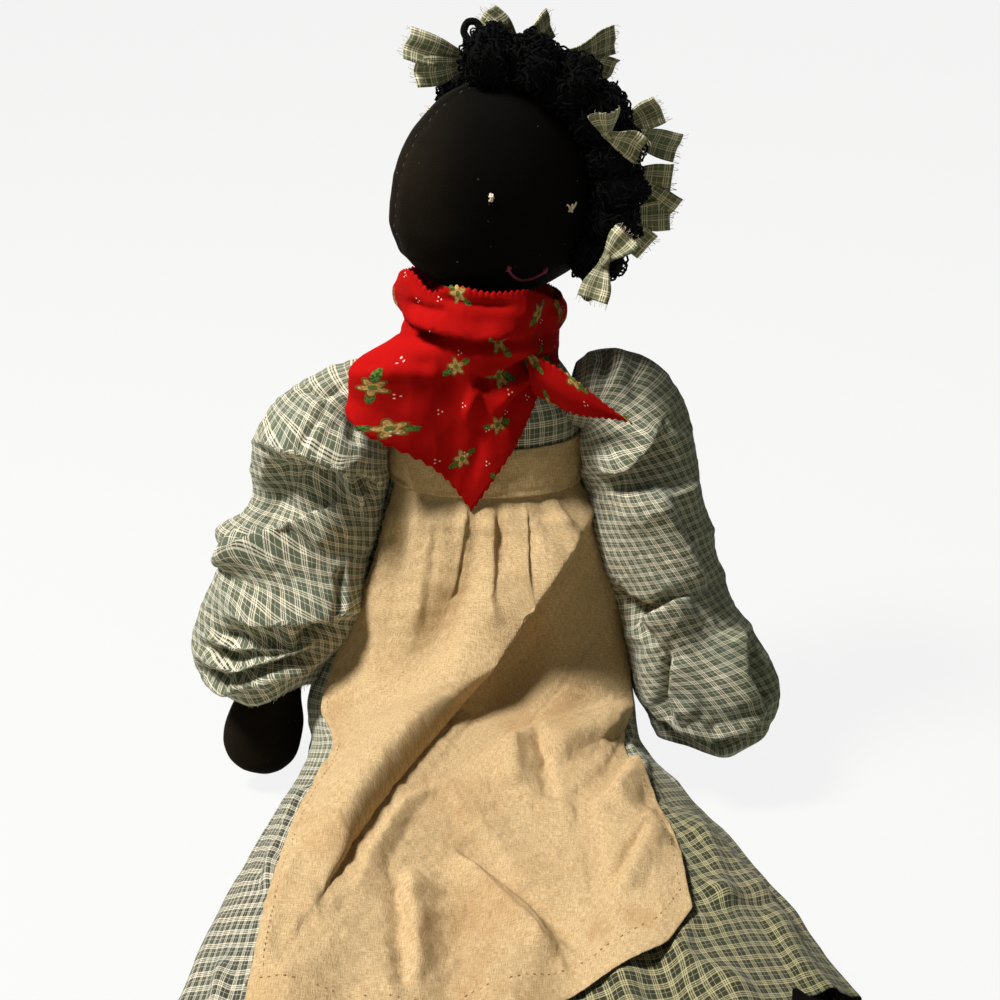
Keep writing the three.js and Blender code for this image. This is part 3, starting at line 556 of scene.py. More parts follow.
# %% Grids, folds and wrinkles
def grid_normals(grid):
    """Unit normals of a grid of points whose last column meets its first."""
    across = np.roll(grid, -1, 1) - np.roll(grid, 1, 1)
    normals = np.cross(np.gradient(grid, axis=0), across)
    length = np.linalg.norm(normals, axis=-1, keepdims=True)
    return normals / np.maximum(length, 1e-9)


def outward_normals(grid, middle):
    """The same normals, facing away from a middle."""
    normals = grid_normals(grid)
    return normals if (normals * (grid - middle)).sum() > 0 else -normals


def line_distance(seen, line):
    """Signed distance from picture points to a bent line, how far along it they fall and the way it runs."""
    line = np.array(line, float)
    starts = line[:-1]
    steps = line[1:] - line[:-1]
    sizes = np.linalg.norm(steps, axis=1)
    offset = seen[..., None, :] - starts
    t = np.clip((offset * steps).sum(-1) / sizes**2, 0, 1)
    gap = offset - t[..., None] * steps
    far = np.linalg.norm(gap, axis=-1)
    best = far.argmin(-1)[..., None]
    side = np.sign(offset[..., 0] * steps[:, 1] - offset[..., 1] * steps[:, 0])
    before = np.r_[0, np.cumsum(sizes)[:-1]]
    run = (before + t * sizes) / sizes.sum()
    pick = lambda values: np.take_along_axis(values, best, -1)[..., 0]
    return pick(far) * pick(side), pick(run), (steps / sizes[:, None])[best[..., 0]]


def seen_share(grid, normals):
    """1 where a surface faces the camera, 0 where it looks away."""
    return smooth(-0.05, 0.3, (normals * unit(eye - grid)).sum(-1))


def fold_shares(seen, folds):
    """For each fold its size, how much of it each picture point gets, and the way its line runs."""
    for line, size, left, right in folds:
        gap, run, way = line_distance(seen, line)
        width = np.where(gap > 0, left, right)
        taper = smooth(0, 0.22, run) * (1 - smooth(0.78, 1, run)) * 0.85 + 0.15
        yield size, np.exp(-((gap / width) ** 2)) * taper, way


def fold_heights(grid, normals, folds):
    """Heights of folds drawn in the picture, each given as (line, height, width on its left and right)."""
    raised = np.zeros(grid.shape[:2])
    for height, share, way in fold_shares(in_picture(grid), folds):
        raised += height * share
    return raised * seen_share(grid, normals)


def rolled_over(grid, normals, rolls):
    """Slides cloth beside a line over to the line's left, so that a fold hangs over what lies there."""
    moved = np.zeros(grid.shape)
    for slide, share, way in fold_shares(in_picture(grid), rolls):
        moved[..., 0] += slide * share * way[..., 1]
        moved += upward * (slide * share * way[..., 0])[..., None]
    return grid + moved * seen_share(grid, normals)[..., None]


def folded(grid, normals, folds):
    return grid + normals * fold_heights(grid, normals, folds)[..., None]


def crumple(grid, size, seed, stretch=(1, 1, 1)):
    """Smooth random heights, about -1 to 1, with lumps of the given size in mm."""
    flat = grid.reshape(-1, 3) * np.array(stretch) / size + seed * 17.3
    return np.array([noise.noise(Vector(p)) for p in flat]).reshape(grid.shape[:-1])


def wrinkle_heights(grid, layers):
    """Heights of ridged random wrinkles: layers are (size, height, seed, stretch)."""
    raised = np.zeros(grid.shape[:-1])
    for size, height, seed, stretch in layers:
        raised += height * (1 - 2 * np.abs(crumple(grid, size, seed, stretch)) ** 0.8)
    return raised


def wrinkled(grid, normals, layers):
    return grid + normals * wrinkle_heights(grid, layers)[..., None]


print("the camera's aim falls at", in_picture(AIM), "in the picture")


# %% Meshes from grids
def add_piece(name, points, faces, finish, uv=None):
    """A mesh object from points in millimetres; uv is the place on the cloth of each point or corner."""
    mesh = bpy.data.meshes.new(name)
    mesh.from_pydata((np.asarray(points) * MM).tolist(), [], faces)
    mesh.materials.append(finish)
    if uv is not None:
        layer = mesh.uv_layers.new(name="cloth")
        if len(uv) == len(points):
            corner = np.zeros(len(mesh.loops), int)
            mesh.loops.foreach_get("vertex_index", corner)
            uv = np.asarray(uv)[corner]
        layer.data.foreach_set("uv", (np.asarray(uv) * MM).ravel())
    mesh.polygons.foreach_set("use_smooth", [True] * len(mesh.polygons))
    mesh.update()
    return add_object(name, mesh)


def grid_faces(rows, columns, closed=False):
    """The faces of a grid of points; closed joins the last column to the first."""
    r, c = np.meshgrid(np.arange(rows - 1), np.arange(columns if closed else columns - 1), indexing="ij")
    after = (c + 1) % columns
    corners = (r * columns + c, (r + 1) * columns + c, (r + 1) * columns + after, r * columns + after)
    return np.stack(corners, -1).reshape(-1, 4)


def joined(grids, closed=False):
    """The points and faces of several grids in one mesh."""
    points = []
    faces = []
    start = 0
    for grid in grids:
        points.append(grid.reshape(-1, 3))
        faces += (grid_faces(*grid.shape[:2], closed) + start).tolist()
        start += len(points[-1])
    return np.concatenate(points), faces


def closed_tube(rings):
    """The points and faces of a tube of rings, closed by a point in the middle of each end."""
    rows, columns = rings.shape[:2]
    points = np.concatenate([rings.reshape(-1, 3), rings[:1].mean(1), rings[-1:].mean(1)])
    faces = grid_faces(rows, columns, True).tolist()
    first = rows * columns
    last = first - columns
    for c in range(columns):
        after = (c + 1) % columns
        faces.append((first, c, after))
        faces.append((first + 1, last + after, last + c))
    return points, faces


def round_off(piece, levels):
    rounder = piece.modifiers.new("round", "SUBSURF")
    rounder.levels = levels
    rounder.render_levels = levels


def face_outwards(piece):
    work = bmesh.new()
    work.from_mesh(piece.data)
    bmesh.ops.recalc_face_normals(work, faces=work.faces)
    work.to_mesh(piece.data)
    work.free()


def stuffed_piece(name, rings, finish):
    """A closed stuffed form from rings of points, rounded off."""
    piece = add_piece(name, *closed_tube(rings), finish)
    face_outwards(piece)
    round_off(piece, 1)
    return piece


print("shape helpers ready")

# %% [markdown]
# The stuffed body. Torso, arms and legs are plain black bags of cotton filled with wadding. Rings of
# points along each one give its shape. Almost all of the torso is under the dress, so it needs its neck
# and its round seat, and no more.

# %% Torso
SEAM_GAP = 0.4
CLOTH = 2.0
BODY_FLOOR = SEAM_GAP + CLOTH
TORSO_POWER = 2.3
TORSO_ROWS = [
    [BODY_FLOOR, 44, 27], [8.8, 55.2, 38.2], [18.4, 60, 43], [120.6, 59, 43], [222.4, 55, 40],
    [246, 54, 37], [264, 43, 32], [278, 29, 27], [290, 23, 23], [324, 23, 23],
]


def oval(angle, half_x, half_y, power):
    fuller = lambda value: np.sign(value) * np.abs(value) ** (2 / power)
    return half_x * fuller(np.sin(angle)), -half_y * fuller(np.cos(angle))


def torso_rings(heights, grow, sides):
    heights = np.asarray(heights, float)
    half = rows_at(TORSO_ROWS, heights)
    power = blend_of(TORSO_POWER, 2, smooth(258, 286, heights))[:, None]
    angle = full_turn(sides)[None]
    x, y = oval(angle, half[:, :1] + grow, half[:, 1:] + grow, power)
    return np.stack([x, y, np.repeat(heights[:, None], sides, 1)], -1)


def torso_reach(turn, height, grow):
    half = rows_at(TORSO_ROWS, height)
    x = np.abs(np.sin(turn)) / (half[..., 0] + grow)
    y = np.abs(np.cos(turn)) / (half[..., 1] + grow)
    return (x**TORSO_POWER + y**TORSO_POWER) ** (-1 / TORSO_POWER)


torso_heights = np.r_[2.6, 4, 6.5, 10, 15, 22, np.linspace(32, 250, 22), np.linspace(256, 324, 16)]
rings = torso_rings(torso_heights, -0.8, 56)
normals = grid_normals(rings)
rings = wrinkled(rings, -normals, [(26, 0.5, 3, (1, 1, 0.6))])
rings[..., 2] = np.maximum(rings[..., 2], BODY_FLOOR)
torso = stuffed_piece("torso_bag", rings, body_cloth)
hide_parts("torso")
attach(torso, "torso")
print("torso:", len(torso.data.vertices), "points")

# %% [markdown]
# Arms. Each arm is a long bag, sewn to the shoulder, that ends in a mitten hand. Its path runs down and
# forward, and its half width and half depth change along the path. The right hand shows below its sleeve,
# so its outline matters; the left hand is lost in the sleeve, and its bag stops short inside.

# %% Arms
ARM_BENDS = [[0, 0, 0], [18, -1, -4], [37, -6, -30], [47, -13, -68], [60, -24, -120],
             [79, -40, -180], [93, -57, -236]]
ARM_ROOT = np.array([52.0, -5.0, 249.0])
ARM_RADIUS = 17.5
ARM_ROWS = [[0, 0.8, 0.8], [0.1, 1, 1], [0.4, 1.04, 1.02], [0.68, 0.94, 0.92], [0.78, 1.0, 0.88],
            [0.86, 1.36, 0.95], [0.92, 1.42, 0.88], [0.965, 1.2, 0.7], [0.99, 0.8, 0.5], [1, 0.42, 0.3]]


def arm_path(hang):
    return path_through([ARM_ROOT + np.array([x * hang, y, z]) for x, y, z in ARM_BENDS])


arm_paths = {-1: arm_path(1.03), 1: arm_path(0.95)}


def tube_rings(path, places, wide_out, wide_in, front, back, sides, side):
    """Rings round an arm path: how far they reach out, in, to the front and to the back at each place."""
    middle, along = path(places)
    towards_back = unit(np.array([0.0, 1, 0]) - along * along[:, 1:2])
    outwards = np.cross(along, towards_back)
    angle = full_turn(sides)[None]
    sine = np.sin(angle)
    cosine = np.cos(angle)
    wide = np.where(sine > 0, wide_out[:, None], wide_in[:, None]) * sine
    deep = np.where(cosine > 0, back[:, None], front[:, None]) * cosine
    rings = middle[:, None] + outwards[:, None] * wide[..., None] + towards_back[:, None] * deep[..., None]
    rings[..., 0] *= side
    return rings


for name, side, length in (("right_arm", -1, 1.0), ("left_arm", 1, 0.93)):
    shares = np.r_[np.linspace(0, 0.7, 26), np.linspace(0.72, 0.96, 18), 0.972, 0.983, 0.991, 0.996, 0.999]
    half = rows_at(ARM_ROWS, shares) * ARM_RADIUS
    path, reach = arm_paths[side]
    rings = tube_rings(path, shares * length, half[:, 0], half[:, 0], half[:, 1], half[:, 1], 36, side)
    normals = grid_normals(rings) * side
    rings = wrinkled(rings, normals, [(22, 0.5, 5, (1, 1, 1)), (7, 0.15, 6, (1, 1, 1))])
    arm = stuffed_piece(f"{name}_bag", rings, body_cloth)
    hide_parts(name)
    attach(arm, name)
    print(name, "reach", round(reach), "mm")

# %% [markdown]
# Legs. The legs lie forward on the floor with the feet turned up. A leg is built along its own line and
# then turned outwards by its splay, the left one more than the right.

# %% Legs
LEG_RADIUS = 30.0
HIP_SPREAD = 41.0
HIP_FORWARD = 42.0
SPLAY = {1: 21.0, -1: 14.0}
LEG_ROWS = [[-5, 4.5, 0.88, 0.1], [3, 7, 0.95, 0.22], [18, 17.5, 1.06, 0.58], [73.8, 30, 1.12, 1],
            [205, 28.5, 1.02, 0.95], [336.2, 25.2, 0.86, 0.84], [377.2, 24, 0.8, 0.8]]
FOOT_ROWS = [[4, 0.84, 0.82, 25], [20, 0.86, 0.78, 58], [42, 0.8, 0.66, 76], [62, 0.64, 0.46, 82],
             [68, 0.42, 0.3, 83.5], [70.5, 0.16, 0.1, 84]]


def leg_rings(sides):
    angle = full_turn(sides)
    rings = []
    for place in np.r_[-5, -2, 3, 9, np.linspace(18, 377.2, 38)]:
        middle, wide, deep = rows_at(LEG_ROWS, place)
        slack = 1.8 * smooth(20, 60, place) * (1 - smooth(300, 340, place))
        slim = slack + 5 * smooth(10, 50, place) * (1 - smooth(150, 260, place))
        rings.append(np.stack([(wide * LEG_RADIUS - slim) * np.sin(angle), np.full(sides, -place),
                               BODY_FLOOR + middle - (deep * LEG_RADIUS - slack) * np.cos(angle)], -1))
    ankle = np.array([0, -397.7, BODY_FLOOR + LEG_RADIUS * 0.84])
    for reach in np.r_[np.linspace(4, 62, 14), 65, 68, 69.6, 70.5]:
        wide, deep, lean = rows_at(FOOT_ROWS, reach)
        turn = math.radians(lean)
        middle = ankle + reach * np.array([0, -math.cos(turn), math.sin(turn)])
        across = np.array([0, math.sin(turn), math.cos(turn)])
        rings.append(middle + np.stack([wide * LEG_RADIUS * np.sin(angle), 0 * angle, 0 * angle], -1)
                     - (deep * LEG_RADIUS * np.cos(angle))[:, None] * across)
    return np.array(rings)


def turned_leg(points, side):
    turn = math.radians(SPLAY[side]) * side
    x = points[..., 0] * math.cos(turn) - points[..., 1] * math.sin(turn)
    y = points[..., 0] * math.sin(turn) + points[..., 1] * math.cos(turn)
    return np.stack([x + side * HIP_SPREAD, y - HIP_FORWARD, points[..., 2]], -1)


for name, side in (("right_leg", -1), ("left_leg", 1)):
    rings = leg_rings(40)
    normals = grid_normals(rings)
    rings = wrinkled(rings, normals, [(30, 0.7, 8, (1, 0.7, 1)), (8, 0.18, 9, (1, 1, 1))])
    rings[..., 2] = np.maximum(rings[..., 2], 2.2)
    leg = stuffed_piece(f"{name}_bag", turned_leg(rings, side), body_cloth)
    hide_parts(name)
    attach(leg, name)
    print(name, len(leg.data.vertices), "points")

# %% [markdown]
# Head. The head is a flat stuffed oval in its own frame, turned and tilted on the neck. A seam runs up each
# side and over the crown; the stitches pull it in and leave small puckers, which show on the outline.

# %% Head
HEAD_HALF = np.array([66.0, 46.0, 64.0])
HEAD_AT = np.array([9.0, -6.0, 379.0])
HEAD_TURN = math.radians(26)
HEAD_TILT = math.radians(7)
HEAD_ROWS = [[-1, 0.2, 0.2], [-0.94, 0.44, 0.44], [-0.78, 0.74, 0.7], [-0.5, 0.96, 0.93], [-0.12, 1, 1],
             [0.22, 0.96, 0.98], [0.55, 0.8, 0.84], [0.8, 0.56, 0.62], [0.95, 0.28, 0.34], [1, 0.12, 0.15]]
turn_matrix = np.array([[math.cos(HEAD_TURN), -math.sin(HEAD_TURN), 0],
                        [math.sin(HEAD_TURN), math.cos(HEAD_TURN), 0], [0, 0, 1]])
tilt_matrix = np.array([[math.cos(HEAD_TILT), 0, math.sin(HEAD_TILT)], [0, 1, 0],
                        [-math.sin(HEAD_TILT), 0, math.cos(HEAD_TILT)]])
head_matrix = tilt_matrix @ turn_matrix


def on_head(points):
    """Points in the head's own frame, placed on the doll."""
    return np.asarray(points) @ head_matrix.T + HEAD_AT


def on_face(x, z, out):
    """A point on the front of the head, lifted off it by out."""
    half = rows_at(HEAD_ROWS, np.asarray(z, float) / HEAD_HALF[2])
    across = np.minimum(np.abs(x) / (half[..., 0] * HEAD_HALF[0]), 0.99)
    deep = half[..., 1] * HEAD_HALF[1] * np.sqrt(1 - across**2)
    return np.stack([np.asarray(x, float) + 0 * deep, -deep - out, np.asarray(z, float) + 0 * deep], -1)


levels = -np.cos(np.linspace(0.12, np.pi - 0.12, 48))
angle = full_turn(72)
half = rows_at(HEAD_ROWS, levels)
x, y = oval(angle[None], half[:, :1] * HEAD_HALF[0], half[:, 1:] * HEAD_HALF[1], 2)
rings = np.stack([x, y, np.repeat(levels[:, None] * HEAD_HALF[2], len(angle), 1)], -1)
from_seam = np.minimum(np.abs(angle - 0.5 * np.pi), np.abs(angle - 1.5 * np.pi))[None]
pucker = np.sin(levels[:, None] * 46) * 0.6 + np.sin(levels[:, None] * 29 + 1) * 0.5
sunk = -1.5 * hump(from_seam, 0, 0.07) + pucker * hump(from_seam, 0, 0.26)
outward = unit(rings)
rings = rings + outward * sunk[..., None]
rings = wrinkled(rings, outward, [(30, 0.5, 11, (1, 1, 1))])
head_seams = [on_head(rings + outward * 0.25)[6:-4, column] for column in (18, 54)]
head = stuffed_piece("head_bag", on_head(rings), body_cloth)
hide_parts("head")
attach(head, "head")
print("head:", len(head.data.vertices), "points")

# %% [markdown]
# Sheets of cloth. A sheet is a grid with a UV map that counts along its threads and a real thickness. Folds
# drawn one by one put the large forms where the photograph has them, but they look too even. So the skirt,
# the sleeves and the apron then settle in Blender's cloth solver for a few steps, with a little spare cloth
# that has to wrinkle. A drape from flat cloth would not land on the folds of the photograph.

# %% Sheets that settle
def flat_cloth(across, along):
    """The places of a grid's points on the uncut cloth."""
    return np.stack(np.meshgrid(across, along), -1)


def cloth_base(name, grid, flat, finish, closed=False, hold=None):
    """A bare sheet from a grid; flat is each point's place on the uncut cloth, hold its grip from 0 to 1.
    A closed sheet is a tube: its last column meets its first, where the flat cloth has both its edges."""
    rows, columns = grid.shape[:2]
    r, c = np.meshgrid(np.arange(rows - 1), np.arange(columns if closed else columns - 1), indexing="ij")
    corners = np.stack([flat[r, c], flat[r + 1, c], flat[r + 1, c + 1], flat[r, c + 1]], 2)
    faces = grid_faces(rows, columns, closed).tolist()
    piece = add_piece(name, grid.reshape(-1, 3), faces, finish, corners.reshape(-1, 2))
    if hold is not None:
        grip = piece.vertex_groups.new(name="hold")
        for index, value in enumerate(hold.ravel()):
            grip.add([index], float(value), "REPLACE")
    return piece


def cloth_wall(piece, thick, levels=1):
    """Gives a sheet its thickness in mm and rounds it off."""
    wall = piece.modifiers.new("wall", "SOLIDIFY")
    wall.thickness = thick * MM
    wall.offset = 0
    if levels:
        round_off(piece, levels)
    return piece


def cloth_piece(name, grid, flat, finish, closed=False, thick=0.7, levels=1):
    return cloth_wall(cloth_base(name, grid, flat, finish, closed), thick, levels)


def points_of(mesh):
    spots = np.zeros(len(mesh.vertices) * 3)
    mesh.vertices.foreach_get("co", spots)
    return spots.reshape(-1, 3)


CLOTH_STUFF = {
    "quality": 6, "mass": 0.1, "tension_stiffness": 14, "compression_stiffness": 14, "shear_stiffness": 5,
    "air_damping": 2, "vertex_group_mass": "hold", "pin_stiffness": 1,
}
GRAVITY_SHARE = 0.1
SETTLE_FRAMES = 22


def settled(piece, growth, cap, bend, above=None):
    """Lets Blender's cloth settle a piece and keeps its shape. Growth is spare cloth, which has to wrinkle,
    and no point moves further than cap in mm. Above is (grid, normals, height): the cloth ends no lower than
    that height over a grid of the same size."""
    before = points_of(piece.data)
    cloth = piece.modifiers.new("cloth", "CLOTH")
    for label, value in CLOTH_STUFF.items():
        setattr(cloth.settings, label, value)
    cloth.settings.bending_stiffness = bend
    cloth.settings.shrink_min = -growth
    cloth.settings.effector_weights.gravity = GRAVITY_SHARE
    cloth.collision_settings.use_collision = False
    cloth.point_cache.frame_start = 1
    cloth.point_cache.frame_end = SETTLE_FRAMES
    for step in range(1, SETTLE_FRAMES + 1):
        scene.frame_set(step)
    depsgraph = bpy.context.evaluated_depsgraph_get()
    after = points_of(piece.evaluated_get(depsgraph).data)
    piece.modifiers.remove(cloth)
    scene.frame_set(1)
    move = after - before
    length = np.linalg.norm(move, axis=1, keepdims=True) * 1000
    after = before + move * np.minimum(1, cap / np.maximum(length, 1e-6))
    if above is not None:
        base, ways, lowest = above
        ways = ways.reshape(-1, 3)
        short = lowest * MM - ((after - base.reshape(-1, 3) * MM) * ways).sum(1)
        after = after + ways * np.maximum(short, 0)[:, None]
    piece.data.vertices.foreach_set("co", after.ravel())
    piece.data.update()
    print(piece.name, "settled, moved at most", round(float(length.max()), 1), "mm")


print("sheets settle in", SETTLE_FRAMES, "steps")

# %% [markdown]
# The dress. Its skirt is one wide tube, gathered at the waist, that falls over the lap and the legs to a
# hem at the shins. Rows like those of the CAD skirt, but fuller at the sides, give the surface here, and
# gathers, folds and small wrinkles come on top.

# %% Skirt surface
WAIST_HEIGHT = 216.0
LAP_TOP = 70.4
BAND_BOTTOM = 196.0
SKIRT_REACH = 372
NEAR_EDGE = 0.9995
waist_x, waist_y = rows_at(TORSO_ROWS, WAIST_HEIGHT) + BODY_FLOOR
band_x, band_y = rows_at(TORSO_ROWS, BAND_BOTTOM) + BODY_FLOOR


def leg_middle(side, y):
    return HIP_SPREAD + np.maximum(-y - HIP_FORWARD, 0) * math.tan(math.radians(SPLAY[side]))


def skirt_reach(side, y):
    return leg_middle(side, y) + LEG_RADIUS + (3 if side > 0 else 15) * smooth(60, 280, -y)


def hem_reach(share, spare):
    return [skirt_reach(-1, -SKIRT_REACH * share) + spare, skirt_reach(1, -SKIRT_REACH * share)]


SKIRT_ROWS = [
    [0, -waist_y, 215.6, waist_y, 215.6, waist_x, waist_x],
    [0.07, -band_y, 194, band_y, 194, band_x, band_x],
    [0.18, -waist_y - 17, 151.2, waist_y + 5, 133.9, waist_x + 14, waist_x + 20],
    [0.3, -waist_y - 34, 103.7, waist_y + 10, 58.3, waist_x + 46, waist_x + 33],
    [0.4, -waist_y - 58, LAP_TOP + 10, waist_y + 10, 16, waist_x + 57, waist_x + 38],
    [0.5, -128.3, LAP_TOP + 2, waist_y - 22, -7, *hem_reach(0.3, 20)],
    [0.66, -200.9, LAP_TOP + 2, -74.4, -8, *hem_reach(0.48, 9)],
    [0.83, -282.7, LAP_TOP, -204.6, -8, *hem_reach(0.71, 0)],
    [1, -SKIRT_REACH, LAP_TOP - 7, -364, -8, *hem_reach(0.93, -7)],
]


def skirt_points(upper, v, xi):
    """The skirt's outer surface: v runs from waist to hem, xi from the right edge to the left."""
    row = rows_at(SKIRT_ROWS, v)
    front_y, front_z, back_y, back_z, right, left = (row[..., k] for k in range(6))
    x = blend_of(-right, left, (xi + 1) / 2)
    over = smooth(0.3, 0.55, v)
    power = blend_of(TORSO_POWER, 3.4 if upper else 4.0, over)
    lift = np.maximum(1 - np.abs(xi) ** power, 0) ** (1 / power) * (1 if upper else -1)
    y = blend_of(back_y, front_y, (lift + 1) / 2)
    y = y + over * v * v * (0.0011 * x * x + 0.16 * np.minimum(x, 0))
    z = blend_of(back_z, front_z, (lift + 1) / 2)
    if upper:
        left_edge = leg_middle(1, y) - LEG_RADIUS
        right_edge = -leg_middle(-1, y) + LEG_RADIUS
        gap = np.maximum((left_edge - right_edge) / 2, 4)
        z = z - 26 * smooth(0.5, 0.85, v) * hump(x, (left_edge + right_edge) / 2, gap * 0.9)
        z = z + 2.5 * smooth(0.6, 1, v) * (1 + np.sin(x / 9)) * lift
    gathers = 2.6 * smooth(0.09, 0.25, v) * (1 - smooth(0.34, 0.46, v))
    y = y + (-1 if upper else 1) * gathers * (1 + np.cos(xi * 13)) * np.abs(lift)
    return np.stack([x, y, np.maximum(z, 0)], -1)


def skirt_grid(stations, upper_columns, lower_columns):
    """Rings down the skirt: over the front from right to left, and back underneath."""
    turn = np.linspace(0, np.pi, upper_columns)
    under = np.linspace(0, np.pi, lower_columns)[1:-1]
    v, front = np.meshgrid(stations, -np.cos(turn) * NEAR_EDGE, indexing="ij")
    w, behind = np.meshgrid(stations, np.cos(under) * NEAR_EDGE, indexing="ij")
    return np.concatenate([skirt_points(True, v, front), skirt_points(False, w, behind)], 1)


def apron_edges(v):
    """Where the apron's two side edges lie on the skirt, as shares of its half width."""
    right_edge = blend_of(0.96, 0.62, smooth(0.3, 1, v)) + 0.07 * hump(v, 0.8, 0.12)
    left_edge = -0.93 + 0.085 * smooth(0.16, 0.32, v) + 0.055 * hump(v, 0.52, 0.09)
    return (left_edge + 0.085 * smooth(0.55, 1, v), right_edge)


def apron_foot(xi):
    return np.minimum(0.955 - 0.11 * xi, 0.985) - 0.025 * smooth(0.5, 0.7, xi)


print("skirt at the hem:", skirt_points(True, 1.0, np.array([-1.0, 0.0, 1.0])).round().tolist())


# %% Skirt
SKIRT_FOLDS = [
    ([(690, 903), (735, 908), (772, 902)], -5, 7, 8), ([(690, 893), (740, 898), (770, 892)], 5, 14, 5),
    ([(680, 800), (712, 866), (735, 940)], 6, 9, 16), ([(735, 880), (765, 940), (785, 990)], -6, 14, 12),
    ([(760, 905), (790, 950), (812, 985)], 5, 10, 12), ([(660, 950), (700, 968), (760, 990)], 4, 10, 10),
    ([(300, 780), (262, 850), (235, 930), (225, 1000)], -9, 12, 16),
    ([(318, 770), (285, 850), (262, 900)], 7, 9, 14), ([(345, 700), (320, 760), (300, 800)], -6, 9, 9),
    ([(250, 850), (225, 920), (214, 1000)], 6, 8, 12), ([(640, 700), (664, 770), (690, 830)], -4, 8, 8),
]
SKIRT_WIDE = 860
SKIRT_LONG = 446
SKIRT_LENGTHS = [
    [0, 0], [0.07, 22], [0.18, 66], [0.3, 118], [0.4, 154], [0.5, 200],
    [0.66, 274], [0.83, 356], [1, SKIRT_LONG],
]
upper_columns = 108
stations = np.r_[0, 0.03, 0.07, np.linspace(0.1, 1, 70)]
grid = skirt_grid(stations, upper_columns, 56)
normals = outward_normals(grid, np.array([0, -100, 60]))
v = np.repeat(stations[:, None], grid.shape[1], 1)
around = full_turn(grid.shape[1])[None]
gather = np.cos(around * 34 + 3 * np.sin(around * 5))
gather = 2.4 * smooth(0.05, 0.14, v) * (1 - smooth(0.3, 0.6, v)) * gather
tubes = 3.5 * smooth(0.4, 0.8, v) * np.sin(around * 15 + 2.2 * np.sin(around * 4 + v * 3))
heights = gather + tubes + fold_heights(grid, normals, SKIRT_FOLDS)
heights += wrinkle_heights(grid, [(46, 2.2, 21, (1, 0.6, 1)), (16, 0.7, 22, (1, 1, 1))])
xi = -np.cos(np.linspace(0, np.pi, upper_columns))[None]
left_edge, right_edge = apron_edges(v[:, :upper_columns])
covered = smooth(-0.02, 0.03, xi - left_edge) * smooth(-0.02, 0.03, right_edge - xi)
covered = covered * smooth(-0.005, 0.02, apron_foot(xi) - v[:, :upper_columns])
under = np.zeros(grid.shape[:2])
under[:, :upper_columns] = covered
room = 0.15 + 0.35 * smooth(40, 60, grid[..., 2]) + 0.3 * smooth(20, 80, -grid[..., 0])
heights = np.where(heights < 0, heights * room, heights) + 1.8 * smooth(0.3, 0.5, v)
heights = blend_of(heights, np.clip(heights, -0.3, 0.3), under)
smooth_skirt = grid
grid = grid + normals * heights[..., None]
grid[..., 2] = np.maximum(grid[..., 2], 0.6)
skirt_lengths = np.interp(stations, *np.array(SKIRT_LENGTHS).T)
flat = flat_cloth(np.linspace(0, SKIRT_WIDE, grid.shape[1] + 1), skirt_lengths)
hold = np.maximum(under, 0.06 + 0.94 * (1 - smooth(0.06, 0.16, v)))
skirt = cloth_base("skirt_cloth", grid, flat, dress_cloth, True, hold)
settled(skirt, growth=0.05, cap=5, bend=1.2, above=(smooth_skirt, normals, -2.0))
spots = points_of(skirt.data)
spots[:, 2] = np.maximum(spots[:, 2], 0.0006)
skirt.data.vertices.foreach_set("co", spots.ravel())
cloth_wall(skirt, 0.8)
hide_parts("skirt")
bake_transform(skirt)
print("skirt:", grid.shape[:2], "grid")

# %% [markdown]
# Bodice. The top of the dress is a plain close tube of the same check, caught in at the neck. Little of it
# shows between the kerchief and the apron band, and the back shows all of it.

# %% Bodice
BODICE_ROUND = 345
heights = np.r_[np.linspace(214, 258, 22), np.linspace(260, 283, 12)]
grid = torso_rings(heights, 3.2, 110)
normals = outward_normals(grid, np.array([0, 0, 240]))
grid = wrinkled(grid, normals, [(24, 0.9, 31, (1, 1, 0.5)), (9, 0.3, 32, (1, 1, 1))])
flat = flat_cloth(np.linspace(0, BODICE_ROUND, grid.shape[1] + 1), heights)
bodice = cloth_piece("bodice_cloth", grid, flat, dress_cloth, closed=True)
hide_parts("dress_bodice")
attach(bodice, "torso")
print("bodice:", grid.shape[:2], "grid")

# %% [markdown]
# Sleeves. The sleeves are the loudest part of the dress: long puffed tubes, pushed up the arm so that the
# spare length falls into deep rolls. Rows of reach out, in, front and back set the outline, the big rolls and
# hollows are drawn as folds, and small wrinkles follow.

# %% Sleeve rows and folds
RIGHT_SLEEVE = [
    [0.0, 15, 17, 23, 23], [0.05, 22, 19, 28, 27], [0.09, 30, 22, 31, 28], [0.14, 40, 26, 34, 30],
    [0.19, 45, 32, 40, 32], [0.24, 48, 36, 38, 34], [0.29, 47, 37, 30, 34], [0.40, 47, 36, 27, 34],
    [0.43, 53, 35, 29, 34], [0.465, 60, 36, 36, 34], [0.50, 52, 37, 40, 34], [0.53, 48, 38, 42, 34],
    [0.58, 54, 38, 43, 36], [0.63, 57, 37, 42, 36], [0.70, 56, 31, 40, 36], [0.76, 53, 27, 38, 34],
    [0.80, 45, 25, 34, 30], [0.825, 34, 23, 27, 24], [0.83, 27, 21, 23, 20],
]
LEFT_SLEEVE = [
    [0.0, 18, 18, 24, 24], [0.05, 30, 19, 28, 27], [0.09, 39, 21, 30, 28], [0.14, 41, 26, 33, 30],
    [0.19, 39, 29, 35, 32], [0.338, 39, 31, 35, 34], [0.54, 39, 29, 36, 35], [0.62, 41, 27, 37, 36],
    [0.70, 47, 29, 39, 38], [0.78, 55, 32, 41, 40], [0.86, 53, 31, 41, 38], [0.91, 46, 26, 37, 33],
    [0.945, 35, 20, 29, 26], [0.955, 26, 14, 18, 17],
]
CUFF_RIDGES = [
    [(203, 632), (235, 642), (267, 641), (306, 633)], [(198, 654), (230, 664), (262, 656), (312, 640)],
]
